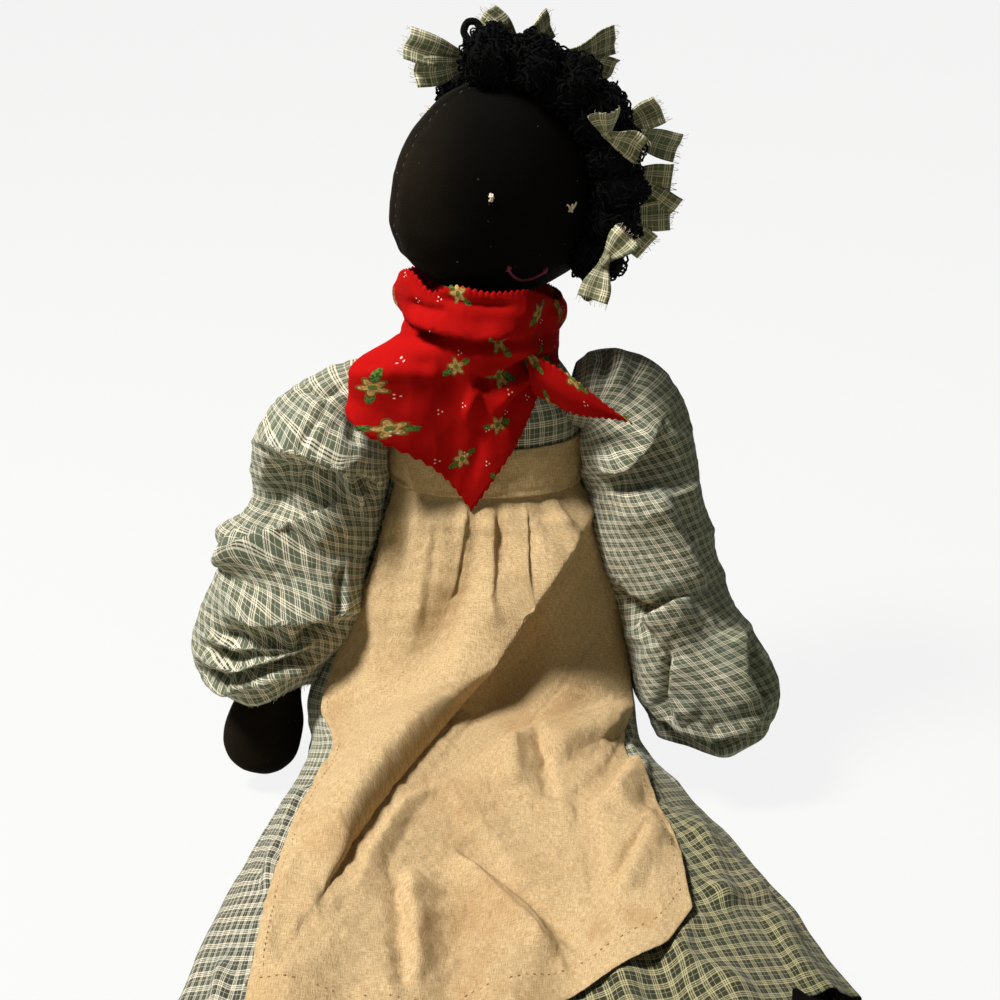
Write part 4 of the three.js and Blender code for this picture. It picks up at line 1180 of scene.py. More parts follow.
RIGHT_FOLDS = [
    ([(256, 440), (285, 446), (320, 456), (345, 466), (360, 474)], 10, 30, 4),
    ([(262, 464), (300, 474), (330, 482), (350, 487)], -14, 8, 22),
    ([(252, 502), (290, 502), (328, 496)], -14, 20, 22),
    ([(208, 557), (232, 548), (260, 538), (300, 528), (330, 513), (346, 496)], 16, 4, 34),
    ([(222, 612), (255, 618), (300, 616), (340, 610), (362, 607)], 9, 24, 4),
    ([(208, 629), (255, 638), (300, 634), (345, 623)], -12, 5, 6),
    (CUFF_RIDGES[0], 10, 7, 4), ([(199, 643), (235, 653), (270, 648), (306, 638)], -9, 3, 4),
    (CUFF_RIDGES[1], 10, 7, 4), ([(197, 666), (230, 677), (262, 668), (318, 648)], -9, 3, 4),
    ([(198, 677), (230, 687), (262, 680), (325, 655)], 8, 7, 4),
    ([(302, 447), (314, 432), (325, 418), (329, 400)], -5, 4, 3),
    ([(310, 447), (323, 430), (334, 416)], 3, 14, 4),
    ([(303, 389), (320, 397), (346, 387)], -6, 5, 4), ([(305, 397), (322, 405), (348, 396)], 4, 4, 12),
    ([(362, 392), (354, 420), (352, 448)], -6, 7, 7), ([(341, 566), (335, 592), (326, 613)], -6, 3, 4),
    ([(352, 476), (372, 486), (362, 500)], -8, 5, 5), ([(345, 484), (360, 490), (356, 506)], 8, 5, 5),
    ([(234, 560), (230, 590), (236, 615)], 3, 12, 5),
]
RIGHT_ROLLS = [
    ([(256, 436), (300, 441), (322, 449), (345, 459), (358, 466)], -10, 16, 3.5),
    ([(208, 562), (232, 553), (260, 543), (300, 533), (330, 518), (346, 501)], 9, 3.5, 14),
    ([(222, 609), (255, 614), (300, 612), (340, 606), (362, 603)], -9, 14, 3.5),
    (CUFF_RIDGES[0], -7, 7, 3), (CUFF_RIDGES[1], -7, 7, 3),
]
LEFT_FOLDS = [
    ([(597, 350), (607, 367), (600, 380)], -7, 6, 6), ([(612, 350), (620, 366), (618, 384)], 5, 7, 7),
    ([(640, 362), (634, 385), (640, 410)], -3, 8, 8),
    ([(598, 472), (623, 464), (640, 447), (657, 424)], 9, 26, 4),
    ([(604, 482), (630, 472), (650, 452), (664, 430)], -8, 5, 18),
    ([(610, 497), (640, 493), (670, 493), (702, 485)], 7, 5, 26),
    ([(650, 486), (676, 540), (702, 598)], 9, 8, 36),
    ([(622, 602), (650, 612), (676, 590)], -12, 6, 7), ([(636, 628), (665, 613), (692, 598)], 8, 5, 22),
    ([(735, 626), (740, 673), (758, 710)], 8, 5, 26), ([(742, 640), (752, 675), (768, 705)], -5, 12, 5),
    ([(670, 650), (666, 700), (678, 724)], -9, 3, 5), ([(677, 652), (674, 700), (688, 724)], 6, 18, 3),
    ([(644, 645), (652, 680), (662, 708)], 4, 8, 8), ([(612, 585), (640, 622), (662, 648)], -8, 6, 6),
    ([(644, 712), (680, 735), (711, 749), (746, 741), (776, 704)], -9, 5, 8),
    ([(650, 704), (682, 725), (711, 738), (742, 730), (768, 700)], 5, 8, 4),
]
LEFT_ROLLS = [
    ([(598, 470), (623, 462), (640, 445), (657, 422)], -6, 14, 3.5),
    ([(636, 630), (665, 615), (692, 600)], 6, 3.5, 14), ([(679, 652), (676, 700), (690, 724)], -5, 12, 3),
]
print("folds drawn on the sleeves:", len(RIGHT_FOLDS), "and", len(LEFT_FOLDS))

# %% Sleeves
SLEEVE_ROUND = 268
sleeve_ends = {}
# fulness draws the check smaller than the cut size gives, as if a sleeve held that many times the cloth
for side, rows, folds, rolls, cut, fulness in ((-1, RIGHT_SLEEVE, RIGHT_FOLDS, RIGHT_ROLLS, 0.27, 1.3),
                                               (1, LEFT_SLEEVE, LEFT_FOLDS, LEFT_ROLLS, 0.30, 1.42)):
    name = "right" if side < 0 else "left"
    shares = np.linspace(rows[0][0], rows[-1][0], 130)
    reach = rows_at(rows, shares)
    path = arm_paths[side][0]
    grid = tube_rings(path, shares, *reach.T, 110, side)
    middle, along = (way * np.array([side, 1, 1]) for way in path(shares))
    towards_body = -side * (grid - middle[:, None])[..., 0]
    rise = 21 * smooth(0.7, 1, shares / shares[-1])[:, None] * smooth(-12, 22, towards_body)
    grid = grid - along[:, None] * rise[..., None]
    normals = outward_normals(grid, middle[:, None])
    puff = smooth(0.05, 0.2, shares)[:, None]
    layers = [(46, 2.4, 41 + side, (1, 1, 1.2)), (15, 0.35, 44 + side, (1, 1, 1))]
    heights = fold_heights(grid, normals, folds) + puff * wrinkle_heights(grid, layers)
    grid = rolled_over(grid + normals * heights[..., None], normals, rolls)
    away = grid - middle[:, None]
    away -= along[:, None] * (away * along[:, None]).sum(-1, keepdims=True)
    far = np.linalg.norm(away, axis=-1, keepdims=True)
    least = rows_at(ARM_ROWS, shares)[:, :1, None] * ARM_RADIUS + 3
    grid = grid + away / far * np.maximum(least - far, 0)
    grid[..., 2] = np.maximum(grid[..., 2], 1.5)
    down = (shares - shares[0]) / (shares[-1] - shares[0]) * cut * 1000
    flat = flat_cloth(np.linspace(0, SLEEVE_ROUND * fulness, grid.shape[1] + 1), down * fulness)
    flat[..., 0] += 0.32 * flat[..., 1] * side
    hold = np.full(grid.shape[:2], 0.35)
    hold[:4] = 1
    hold[-3:] = 1
    sleeve = cloth_base(f"{name}_sleeve_cloth", grid, flat, dress_cloth, True, hold)
    settled(sleeve, growth=0.05, cap=2.5, bend=1.0)
    sleeve_ends[name] = points_of(sleeve.data).reshape(grid.shape)[-3:] * 1000
    cloth_wall(sleeve, 0.8)
    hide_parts(f"{name}_sleeve")
    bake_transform(sleeve)
    print(name, "sleeve:", grid.shape[:2], "grid")

# %% [markdown]
# Apron. A straight muslin panel is pleated into a waistband and tied at the back. It lies on the skirt, so
# it is built on the skirt's own surface with a lift: the pleats stand off a little at the top, and one long
# fold runs slanting from the band on one side to the hem on the other. The lap is crumpled where the
# doll has been sat up and laid down.

# %% Apron panel
def skirt_normals(upper, v, xi):
    nudge = 0.012
    along = (skirt_points(upper, np.minimum(v + nudge, 1), xi)
             - skirt_points(upper, np.maximum(v - nudge, 0), xi))
    across = (skirt_points(upper, v, np.minimum(xi + nudge, 0.999))
              - skirt_points(upper, v, np.maximum(xi - nudge, -0.999)))
    normal = unit(np.cross(along, across))
    return normal if upper else -normal


LONG_FOLD = [
    (598, 494), (566, 548), (526, 600), (486, 660), (430, 728), (382, 784), (342, 840), (305, 915),
]
PLEATS = [
    [(466, 500), (458, 555), (448, 605)], [(492, 500), (491, 570), (488, 632)],
    [(524, 500), (525, 545), (522, 585)],
]
LAP_RIDGE = [(632, 702), (599, 734), (560, 752), (544, 762)]
HEM_FOLD = [(450, 848), (489, 887), (524, 918), (562, 964)]
APRON_FOLDS = [
    (LONG_FOLD, 20, 5, 36),
    ([(616, 540), (590, 596), (550, 650), (505, 706), (455, 766), (405, 836), (355, 910)], -9, 26, 16),
    (PLEATS[0], 4, 2, 16), (PLEATS[1], 4, 2, 14), (PLEATS[2], 4, 2, 14), ([(556, 498), (562, 526)], 3, 2, 10),
    ([(436, 500), (428, 560), (414, 640)], 4, 4, 16), ([(400, 500), (394, 560), (380, 640)], 3, 6, 14),
    ([(640, 704), (600, 714), (522, 736), (460, 770), (406, 804), (372, 860), (345, 930)], 6, 26, 7),
    ([(512, 735), (515, 760), (520, 790)], 6, 10, 16),
    ([(536, 726), (544, 757), (551, 789), (556, 802)], -6, 5, 8), (LAP_RIDGE, 8, 8, 14),
    ([(642, 722), (606, 779), (581, 797), (594, 851), (596, 914)], -7, 9, 9),
    ([(652, 742), (628, 779), (606, 802)], 7, 20, 8), ([(636, 786), (661, 804), (685, 856)], -4, 6, 8),
    ([(642, 830), (623, 864), (602, 892)], -7, 5, 6), ([(658, 820), (640, 860), (616, 902)], 5, 14, 7),
    (HEM_FOLD, 8, 5, 22), ([(470, 846), (506, 882), (545, 917), (582, 955)], -4, 14, 7),
    ([(392, 844), (398, 876), (402, 938), (407, 998)], -5, 5, 10),
    ([(406, 858), (412, 920), (418, 985)], 5, 18, 5),
    ([(330, 690), (322, 744), (318, 790)], 3, 8, 8), ([(300, 850), (275, 910), (262, 980)], 4, 8, 10),
]
APRON_ROLLS = [
    (LONG_FOLD, 8, 4, 16), *[(pleat, 2, 2, 9) for pleat in PLEATS],
    (HEM_FOLD, 4, 3, 12), (LAP_RIDGE, 4, 3, 10),
]
APRON_WIDE = 330
shares = np.r_[0, 0.008, np.linspace(0.017, 1, 98)]
left_edge, right_edge = apron_edges(blend_of(0.05, 0.94, shares))
across = np.linspace(0, 1, 118)
xi = left_edge[:, None] + (right_edge - left_edge)[:, None] * across[None]
v = blend_of(0.05, apron_foot(xi), shares[:, None])
normals = skirt_normals(True, v, xi)
grid = skirt_points(True, v, xi)
pleats = 1.4 * (1 - smooth(0.08, 0.3, v)) * (1 + np.cos(xi * 30))
heights = 4 + pleats + 2 * smooth(0.6, 0.9, v) * (1 + np.sin(xi * 11 + v * 9))
heights += fold_heights(grid + normals * 5, normals, APRON_FOLDS)
crush = smooth(0.3, 0.6, v)
inside = smooth(0, 0.08, np.minimum(across, 1 - across))[None]
heights += inside * (0.7 + 2.4 * crush) * (0.45 - np.abs(crumple(grid, 44, 51)) * 1.4)
heights += inside * (0.3 + 0.5 * crush) * (0.3 - np.abs(crumple(grid, 17, 52)))
heights = np.maximum(heights, 1.4 + 0.25 * heights)
heights = blend_of(1.6, heights, smooth(0.055, 0.12, v))
under_apron = grid
grid = rolled_over(grid + normals * heights[..., None], normals, APRON_ROLLS)
apron_lengths = np.interp(v, *np.array(SKIRT_LENGTHS).T)
flat = np.stack([np.repeat(across[None] * APRON_WIDE, len(shares), 0), apron_lengths], -1)
hold = 0.3 + 0.7 * (1 - smooth(0.06, 0.1, v)) + 0.3 * (1 - smooth(0.25, 0.4, v))
apron = cloth_base("apron_cloth", grid, flat, apron_cloth, False, np.minimum(hold, 1))
settled(apron, growth=0.03, cap=2, bend=1.5, above=(under_apron, normals, 1.5))
raised = points_of(apron.data).reshape(grid.shape) * 1000 + normals * 0.75
apron_seams = [raised[-5, 3:-3], raised[8:-5, 3], raised[8:-5, -4]]
cloth_wall(apron, 0.9)
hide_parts("apron_panel")
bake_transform(apron)
print("apron:", grid.shape[:2], "grid")

# %% [markdown]
# Waistband and bow. The band is a folded strip round the waist with a stitched lower edge. It ends in two
# strings tied in a bow behind.

# %% Waistband
BAND_TOP = 226.5
BAND_ROUND = 350
heights = np.linspace(BAND_BOTTOM, BAND_TOP, 22)
grid = torso_rings(heights, 5.6, 150)
normals = outward_normals(grid, np.array([0, 0, 210]))
edge = hump(heights, 199.5, 1.3)[:, None]
grid = grid + normals * (-0.7 * edge)[..., None]
grid = wrinkled(grid, normals, [(30, 0.8, 61, (1, 1, 1.6)), (10, 0.25, 62, (1, 1, 1))])
BAND_FOLDS = [
    ([(376, 470), (400, 480), (420, 496)], -2, 5, 5), ([(378, 490), (410, 494), (440, 500)], -1.5, 3, 3),
    ([(570, 480), (590, 470)], -1, 5, 5),
]
grid = folded(grid, normals, BAND_FOLDS)
flat = flat_cloth(np.linspace(0, BAND_ROUND, grid.shape[1] + 1), heights - BAND_BOTTOM)
band_seam = (grid + normals * 1.05)[2, 38:113]
band = cloth_piece("waistband_cloth", grid, flat, apron_cloth, closed=True, thick=1.8)
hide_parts("apron_waistband")
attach(band, "torso")
print("waistband:", grid.shape[:2], "grid")

# %% Bow behind
def ribbon(points, width, lean, sides=9):
    """A flat ribbon of cloth along a bent line: lean gives the direction of its width at each point."""
    path, length = path_through(points)
    shares = np.linspace(0, 1, 40)
    middle, along = path(shares)
    wide = rows_at(np.c_[np.linspace(0, 1, len(lean)), np.array(lean, float)], shares)
    wide = unit(wide - along * (wide * along).sum(-1, keepdims=True))
    across = np.linspace(-0.5, 0.5, sides)
    widths = np.interp(shares, np.linspace(0, 1, len(width)), width)
    grid = middle[:, None] + wide[:, None] * (across[None] * widths[:, None])[..., None]
    out = np.cross(along, wide)
    grid = grid + out[:, None] * (1.2 * np.sin(across * 7 + shares[:, None] * 9))[..., None]
    return grid, flat_cloth(across * max(width), shares * length)


bow_at = np.array([0, 51.0, 210.0])
bow_parts = []
for side in (-1, 1):
    loop = [bow_at + np.array(p) * np.array([side, 1, 1]) for p in
            ([0, 1, 0], [14, 5, 5], [30, 6, 10], [39, 3, 7], [34, 0, 0], [16, 0, -2], [0, 0, 0])]
    bow_parts.append(ribbon(loop, [7, 13, 16, 15, 15, 12, 7], [[0, 0.3, 1], [0, 0, 1], [0, 0, 1]]))
    v = np.linspace(0.035, 0.25, 9)
    xi = side * np.linspace(0.05, 0.32, 9)
    tail = skirt_points(False, v, xi) + skirt_normals(False, v, xi) * 4.5
    tail = np.concatenate([bow_at[None] + np.array([[side * 1.0, 1.5, -2]]), tail[1:]])
    bow_parts.append(ribbon(tail, [8, 13, 15, 15], [[1, 0, 0.2], [1, 0, 0.3 * side], [1, 0, 0.4 * side]]))
across, turn = np.meshgrid(np.linspace(-1, 1, 9), np.linspace(0, 2 * np.pi, 16), indexing="ij")
radius = np.sqrt(np.maximum(1 - across**2, 0.04))
knot = np.stack([5.5 * radius * np.cos(turn), 1 + 4.2 * radius * np.sin(turn), 6.5 * across], -1)
bow_parts.append((bow_at + knot, np.stack([turn * 6, across * 7], -1)))
points, faces = joined([grid for grid, flat in bow_parts])
places = np.concatenate([flat.reshape(-1, 2) for grid, flat in bow_parts])
bow = cloth_wall(add_piece("apron_bow", points, faces, apron_cloth, places), 0.9, 0)
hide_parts("apron_strings")
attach(bow, "torso")
print("bow:", len(bow.data.vertices), "points")

# %% [markdown]
# Kerchief. A square of red print, cut with pinking shears so that its edges are a row of small teeth, is
# folded to a triangle and wrapped round the neck. One point hangs down in front, cloth bulges over the
# right shoulder, and a tail sticks out on the left. The teeth are real edge shape: every tooth has
# its own columns in the grid.

# %% Kerchief
TOOTH = 4.2
KERCHIEF_RADIUS = 62


def teeth(run):
    """The zigzag of a pinked edge, 0 at the root of a tooth and 1 at its tip."""
    return 1 - np.abs(np.mod(run / TOOTH, 1) * 2 - 1)


def kerchief_top(turn):
    left_fall = 26 * smooth(0.1, 1.5, turn)
    right_fall = 16 * smooth(0.9, 1.8, -turn)
    return 333 - left_fall - right_fall - 9 * hump(turn, -0.62, 0.2) - 7 * hump(turn, 0.1, 0.45)


def kerchief_edge(turn):
    pointed = 80 * np.maximum(1 - np.abs(turn + 0.16) / 1.02, 0)
    return 270 - pointed - 4 * hump(turn, -1.05, 0.3) - 8 * hump(np.abs(turn), np.pi, 0.7)


turn = np.linspace(-np.pi, np.pi, 480, endpoint=False)
share = np.linspace(0, 1, 44)
t, around = np.meshgrid(share, turn, indexing="ij")
height = blend_of(kerchief_top(around), kerchief_edge(around), t**1.25)
on_body = torso_reach(around, height, 5.6) + 1
roll = blend_of(50, 43, smooth(0.2, 1.1, around)) + 5 * np.sin(np.pi * np.minimum(t * 1.6 + 0.1, 1))
roll = roll - 6 * hump(height, 299, 6) * smooth(0.3, 0.8, -around)
lobe = 42 * hump(around, -1.02, np.where(around < -1.02, 0.2, 0.4)) * smooth(300, 276, height)
reach = np.maximum(on_body, roll) + lobe + 1
run = around * KERCHIEF_RADIUS
height = height - 2.4 * teeth(run) * smooth(0.93, 1, t) + 2.2 * teeth(run) * (1 - smooth(0, 0.07, t))
grid = np.stack([reach * np.sin(around), -reach * np.cos(around), height], -1)
normals = outward_normals(grid, np.array([0, 0, 290]))
KERCHIEF_FOLDS = [
    ([(392, 317), (420, 328), (446, 336), (480, 342), (522, 341)], -6, 3, 9),
    ([(395, 309), (422, 319), (448, 327), (482, 333), (520, 331)], 4, 7, 4),
    ([(430, 296), (470, 304), (520, 306)], -3, 4, 6), ([(405, 300), (425, 308), (450, 312)], -3, 4, 5),
    ([(562, 352), (522, 366), (484, 386)], -7, 4, 5), ([(564, 344), (512, 350), (468, 354)], 4, 6, 8),
    ([(558, 362), (517, 384), (492, 412)], 5, 5, 7), ([(545, 372), (514, 400), (498, 432)], -4, 5, 5),
    ([(474, 380), (484, 386), (492, 386)], -8, 6, 6), ([(466, 416), (473, 398), (478, 388)], 4, 5, 6),
    ([(360, 362), (400, 360), (440, 366)], -3, 6, 7), ([(356, 372), (400, 370), (445, 378)], 2, 8, 6),
    ([(480, 420), (478, 450), (470, 480)], -2.5, 8, 8), ([(400, 400), (430, 430), (450, 470)], 2, 14, 14),
    ([(555, 300), (540, 330), (530, 350)], -3, 6, 6),
]
KERCHIEF_ROLLS = [([(395, 311), (422, 321), (448, 329), (482, 335), (520, 333)], -4, 8, 3),
                  ([(562, 356), (522, 370), (486, 390)], 3, 3, 8)]
grid = rolled_over(folded(grid, normals, KERCHIEF_FOLDS), normals, KERCHIEF_ROLLS)
grid = wrinkled(grid, normals, [(30, 0.8, 71, (1, 1, 1)), (12, 0.35, 72, (1, 1, 1))])
flat = np.stack([np.concatenate([run, run[:, :1] + 2 * np.pi * KERCHIEF_RADIUS], 1),
                 -np.concatenate([height, height[:, :1]], 1)], -1)
kerchief = cloth_piece("kerchief_cloth", grid, flat, kerchief_cloth, closed=True, levels=0)
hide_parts("kerchief")
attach(kerchief, "torso")
print("kerchief:", grid.shape[:2], "grid")

# %% Kerchief tail
TAIL_LONG = 66
root = np.array([26.0, -46.0, 276.0])
tip = np.array([86.0, -52.0, 248.0])
share = np.linspace(0, 1, 90)
across = np.linspace(-0.5, 0.5, 15)
t, w = np.meshgrid(share, across, indexing="ij")
width = blend_of(25, 3, smooth(0.3, 1, t)) + 2 * 1.6 * teeth(t * TAIL_LONG) * smooth(0.3, 0.5, np.abs(w))
place = root + (tip - root) * t[..., None]
grid = place + np.stack([-4 * w, -4 * np.sin(np.pi * t) - 3 * np.cos(w * 5) * (1 - t), width * w], -1)
flat = np.stack([t * TAIL_LONG + 30, width * w + 10], -1)
tail = cloth_piece("kerchief_tail", grid, flat, kerchief_cloth, levels=0)
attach(tail, "torso")
print("tail:", grid.shape[:2], "grid")

# %% [markdown]
# Hair. The hair is black wool, wound in short curls and tied in bunches over the crown and down one side.
# Each bunch has a dark lumpy core, and Geometry Nodes scatter small yarn curls over all the cores: a spiral
# curve with a round profile, one for each scattered point, turned at random from a fixed seed.

# %% Hair cores
HAIR_BUNCH = 20.0
FRONT_BUNCHES = 8
BUNCHES = [(-4 + 18.5 * i, -9, 1 - 0.03 * max(i - 3, 0) if i else 0.88) for i in range(FRONT_BUNCHES)]
BUNCHES += [(-16 + 32 * i, 46, 1.2) for i in range(5)]


def bunch_place(sideways, back):
    """Direction out of the head and the bunch's middle, in the head's own frame."""
    turn = math.radians(sideways)
    lean = math.radians(back)
    way = np.array([math.sin(turn), math.sin(lean), math.cos(turn) * math.cos(lean)])
    way = head_matrix.T @ unit(way)
    reach = 1 / np.linalg.norm(way / HEAD_HALF)
    return way, way * (reach + HAIR_BUNCH * 0.62)


def hair_cores(name, first, last):
    """The dark lumpy balls under the curls of some bunches, as one mesh."""
    balls = []
    a, b = np.meshgrid(np.linspace(0.08, np.pi - 0.08, 14), full_turn(22), indexing="ij")
    for index in range(first, last):
        sideways, back, size = BUNCHES[index]
        way, middle = bunch_place(sideways, back)
        ball = np.stack([np.sin(a) * np.cos(b), np.sin(a) * np.sin(b), np.cos(a)], -1)
        lumps = crumple(ball * 20, 10, index + 80)
        ball = ball * (HAIR_BUNCH * size * (0.86 + 0.22 * lumps))[..., None]
        taller = 0.22 if index == 0 else 0
        ball = ball + way * (ball @ way * taller)[..., None]
        balls.append(on_head(ball + middle))
    cores = add_piece(name, *joined(balls, True), yarn)
    face_outwards(cores)
    return cores


front_cores = hair_cores("front_hair_cores", 0, FRONT_BUNCHES)
back_cores = hair_cores("back_hair_cores", FRONT_BUNCHES, len(BUNCHES))
print("hair bunches:", len(BUNCHES))


# %% Yarn curls by Geometry Nodes
def node_tree(name, sizes):
    """An empty Geometry Nodes tree with named size inputs; returns its parts."""
    tree = bpy.data.node_groups.new(name, "GeometryNodeTree")
    tree.interface.new_socket("Geometry", in_out="INPUT", socket_type="NodeSocketGeometry")
    for label, value in sizes.items():
        kind = "NodeSocketInt" if isinstance(value, int) else "NodeSocketFloat"
        tree.interface.new_socket(label, in_out="INPUT", socket_type=kind)
    tree.interface.new_socket("Geometry", in_out="OUTPUT", socket_type="NodeSocketGeometry")
    entry = tree.nodes.new("NodeGroupInput")
    ending = tree.nodes.new("NodeGroupOutput")
    return tree, entry, ending


def thread_along(tree, curve, radius):
    """A thin round thread that follows a curve."""
    profile = tree_node(tree, "GeometryNodeCurvePrimitiveCircle", Resolution=3, Radius=radius)
    thread = tree_node(tree, "GeometryNodeCurveToMesh", Curve=curve, Profile_Curve=profile.outputs[0])
    return thread.outputs[0]


def laid_at_random(tree, seed, points, thread, facing, spins, sizes):
    """Lays a thread on each point, turned and sized by chance between two spins and two sizes."""
    spin = tree_node(tree, "FunctionNodeRandomValue", data_type="FLOAT_VECTOR", Seed=seed,
                     Min=spins[0], Max=spins[1])
    turned = tree_node(tree, "FunctionNodeRotateRotation", rotation_space="LOCAL", Rotation=facing)
    tree.links.new(spin.outputs[0], turned.inputs[1])
    size = tree_node(tree, "FunctionNodeRandomValue", data_type="FLOAT", Seed=seed)
    size.inputs[2].default_value, size.inputs[3].default_value = sizes
    return tree_node(tree, "GeometryNodeInstanceOnPoints", Points=points, Instance=thread,
                     Rotation=turned.outputs[0], Scale=size.outputs[1]).outputs[0]


def end_tree(tree, ending, geometry, finish):
    painted = tree_node(tree, "GeometryNodeSetMaterial", Geometry=geometry, Material=finish)
    tree.links.new(painted.outputs[0], ending.inputs[0])


def grown(piece, tree, sizes, name, finish):
    """Runs a tree on a piece and returns the result as a plain mesh object."""
    modifier = piece.modifiers.new("nodes", "NODES")
    modifier.node_group = tree
    for item in tree.interface.items_tree:
        if item.in_out == "INPUT" and item.name in sizes:
            modifier[item.identifier] = sizes[item.name]
    depsgraph = bpy.context.evaluated_depsgraph_get()
    mesh = bpy.data.meshes.new_from_object(piece.evaluated_get(depsgraph), depsgraph=depsgraph)
    mesh.name = name
    mesh.materials.clear()
    mesh.materials.append(finish)
    mesh.polygons.foreach_set("use_smooth", [True] * len(mesh.polygons))
    bpy.data.objects.remove(piece)
    return add_object(name, mesh)


CURL_SIZES = {"Spacing": 0.0028, "Curl radius": 0.0023, "Yarn radius": 0.00065, "Seed": 7}
tree, entry, ending = node_tree("yarn_curls", CURL_SIZES)
scatter = tree_node(tree, "GeometryNodeDistributePointsOnFaces", distribute_method="POISSON",
                    Mesh=entry.outputs["Geometry"], Distance_Min=entry.outputs["Spacing"],
                    Density_Max=180000.0, Seed=entry.outputs["Seed"])
spiral = tree_node(tree, "GeometryNodeCurveSpiral", Resolution=8, Rotations=1.3, Height=0.0022,
                   Start_Radius=entry.outputs["Curl radius"], End_Radius=entry.outputs["Curl radius"])
curl = thread_along(tree, spiral.outputs[0], entry.outputs["Yarn radius"])
curls = laid_at_random(tree, entry.outputs["Seed"], scatter.outputs["Points"], curl,
                       scatter.outputs["Rotation"], [(0.7, -0.9, -3.14), (2.3, 0.9, 3.14)], [0.7, 1.35])
solid = tree_node(tree, "GeometryNodeRealizeInstances", Geometry=curls)
both = tree_node(tree, "GeometryNodeJoinGeometry")
tree.links.new(entry.outputs["Geometry"], both.inputs[0])
tree.links.new(solid.outputs[0], both.inputs[0])
end_tree(tree, ending, both.outputs[0], yarn)
for cores, place, first, last in ((front_cores, "front", 1, 9), (back_cores, "back", 9, 14)):
    hair = grown(cores, tree, CURL_SIZES, f"yarn_hair_{place}", yarn)
    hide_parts(*[f"hair_bunch_{number}" for number in range(first, last)])
    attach(hair, "head")
    print(place, "hair:", len(hair.data.polygons), "faces")

# %% [markdown]
# Rag ties. Torn strips of the dress cloth are knotted round the bunches. Each strip has a knot and two ends
# that swing to their own side, widen and curl, and stop in a raw edge.

# %% Rag ties
RAG_ENDS = [
    [(-64, 1.45), (-88, 1.2)], [(-62, 0.85), (58, 0.8)], [(52, 1.1), (88, 1.25)], [(-60, 0.6), (64, 0.7)],
    [(-6, 1.0), (38, 1.35)], [(38, 1.3), (8, 1)], [(-20, 1.1), (24, 0.9)], [(72, 0.8), (-84, 0.65)],
]
RAG_SIDES = [1, 1, 1, -1, 1, 1, 1, -1]
RAG_RISE = [-8, 3, 6, 3, 0, 0, 0, 5]


def spun(vector, axis, degrees):
    """A vector turned about a unit axis."""
    turn = math.radians(degrees)
    return (vector * math.cos(turn) + np.cross(axis, vector) * math.sin(turn)
            + axis * (axis @ vector) * (1 - math.cos(turn)))


RAG_WIDE = 18
RAG_LONG = 30
frayed_edges = []
for index, (sideways, back, size) in enumerate(BUNCHES):
    up, middle = bunch_place(sideways, back)
    across = unit(np.cross(up, np.array([0.0, 1, 0])))
    facing = np.cross(across, up)
    in_front = index < FRONT_BUNCHES
    to_front = RAG_SIDES[index] if in_front else 1
    rise = RAG_RISE[index] if in_front else 3
    knot_at = middle + facing * to_front * (HAIR_BUNCH * size + 3) + up * rise
    grids = []
    places = []
    for end, (swing, length) in enumerate(RAG_ENDS[index if in_front else (index + 3) % FRONT_BUNCHES]):
        way = spun(up, facing, swing)
        side_way = np.cross(way, facing)
        t, w = np.meshgrid(np.linspace(0, 1, 16), np.linspace(-0.5, 0.5, 11), indexing="ij")
        spread = RAG_WIDE * blend_of(0.34, 1.02, smooth(0, 0.8, t))
        reach = t * RAG_LONG * length
        ripple = 1.6 * np.sin(w * 8 + index * 2 + end) * t + 1.2 * np.sin(t * 7 + index)
        curl = to_front * (6 * t * t - 6 * w * w * t) + ripple
        grid = on_head(knot_at + way * reach[..., None] + side_way * (w * spread)[..., None]
                       + facing * curl[..., None])
        grids.append(grid)
        places.append(np.stack([(w + 0.5) * RAG_WIDE + 23 * index, reach + 40 * end], -1))
        frayed_edges.append((grid[-1], grid[-1] - grid[-3]))
    a, b = np.meshgrid(np.linspace(0.15, np.pi - 0.15, 9), np.linspace(0, 2 * np.pi, 14), indexing="ij")
    knot = (across * (3.8 * np.sin(a) * np.cos(b))[..., None] + up * (2.5 * np.cos(a))[..., None]
            + facing * (2.2 * np.sin(a) * np.sin(b) + 0.7 * np.sin(3 * b))[..., None])
    grids.append(on_head(knot + knot_at))
    places.append(np.stack([b * 6, a * 6], -1))
    places = np.concatenate([place.reshape(-1, 2) for place in places])
    rag = cloth_wall(add_piece(f"rag_strip_{index + 1}", *joined(grids), rag_cloth, places), 0.7, 0)
    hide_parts(f"rag_tie_{index + 1}")
    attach(rag, "head")
print("rag strips:", len(BUNCHES))

# %% [markdown]
# The face is only three bits of thread: two small pale knots for eyes and a smile in dark rose thread. Each
# stitch is a short bent tube of thread that leaves the cloth and goes back into it.

# %% Face stitches
def thread_tubes(name, lines, radius, finish, sides=7):
    """One mesh of round threads that follow bent lines, given in the head's own frame."""
    points = []
    faces = []
    for line in lines:
        path, length = path_through(line)
        shares = np.linspace(0, 1, max(8, int(length / 0.5)))
        middle, along = path(shares)
        start_way = unit(np.cross(along, np.array([0.31, 0.87, 0.38])))
        other = np.cross(along, start_way)
        angle = full_turn(sides)
        thick = radius * (1 - 0.55 * np.abs(2 * shares - 1) ** 6)
        ring = (middle[:, None] + (start_way[:, None] * np.cos(angle)[None, :, None]
                + other[:, None] * np.sin(angle)[None, :, None]) * thick[:, None, None])
        start = sum(len(p) for p in points)
        tube, tube_faces = closed_tube(ring)
        points.append(tube)
        faces += [[start + corner for corner in face] for face in tube_faces]
    piece = add_piece(name, on_head(np.concatenate(points)), faces, finish)
    face_outwards(piece)
    return piece


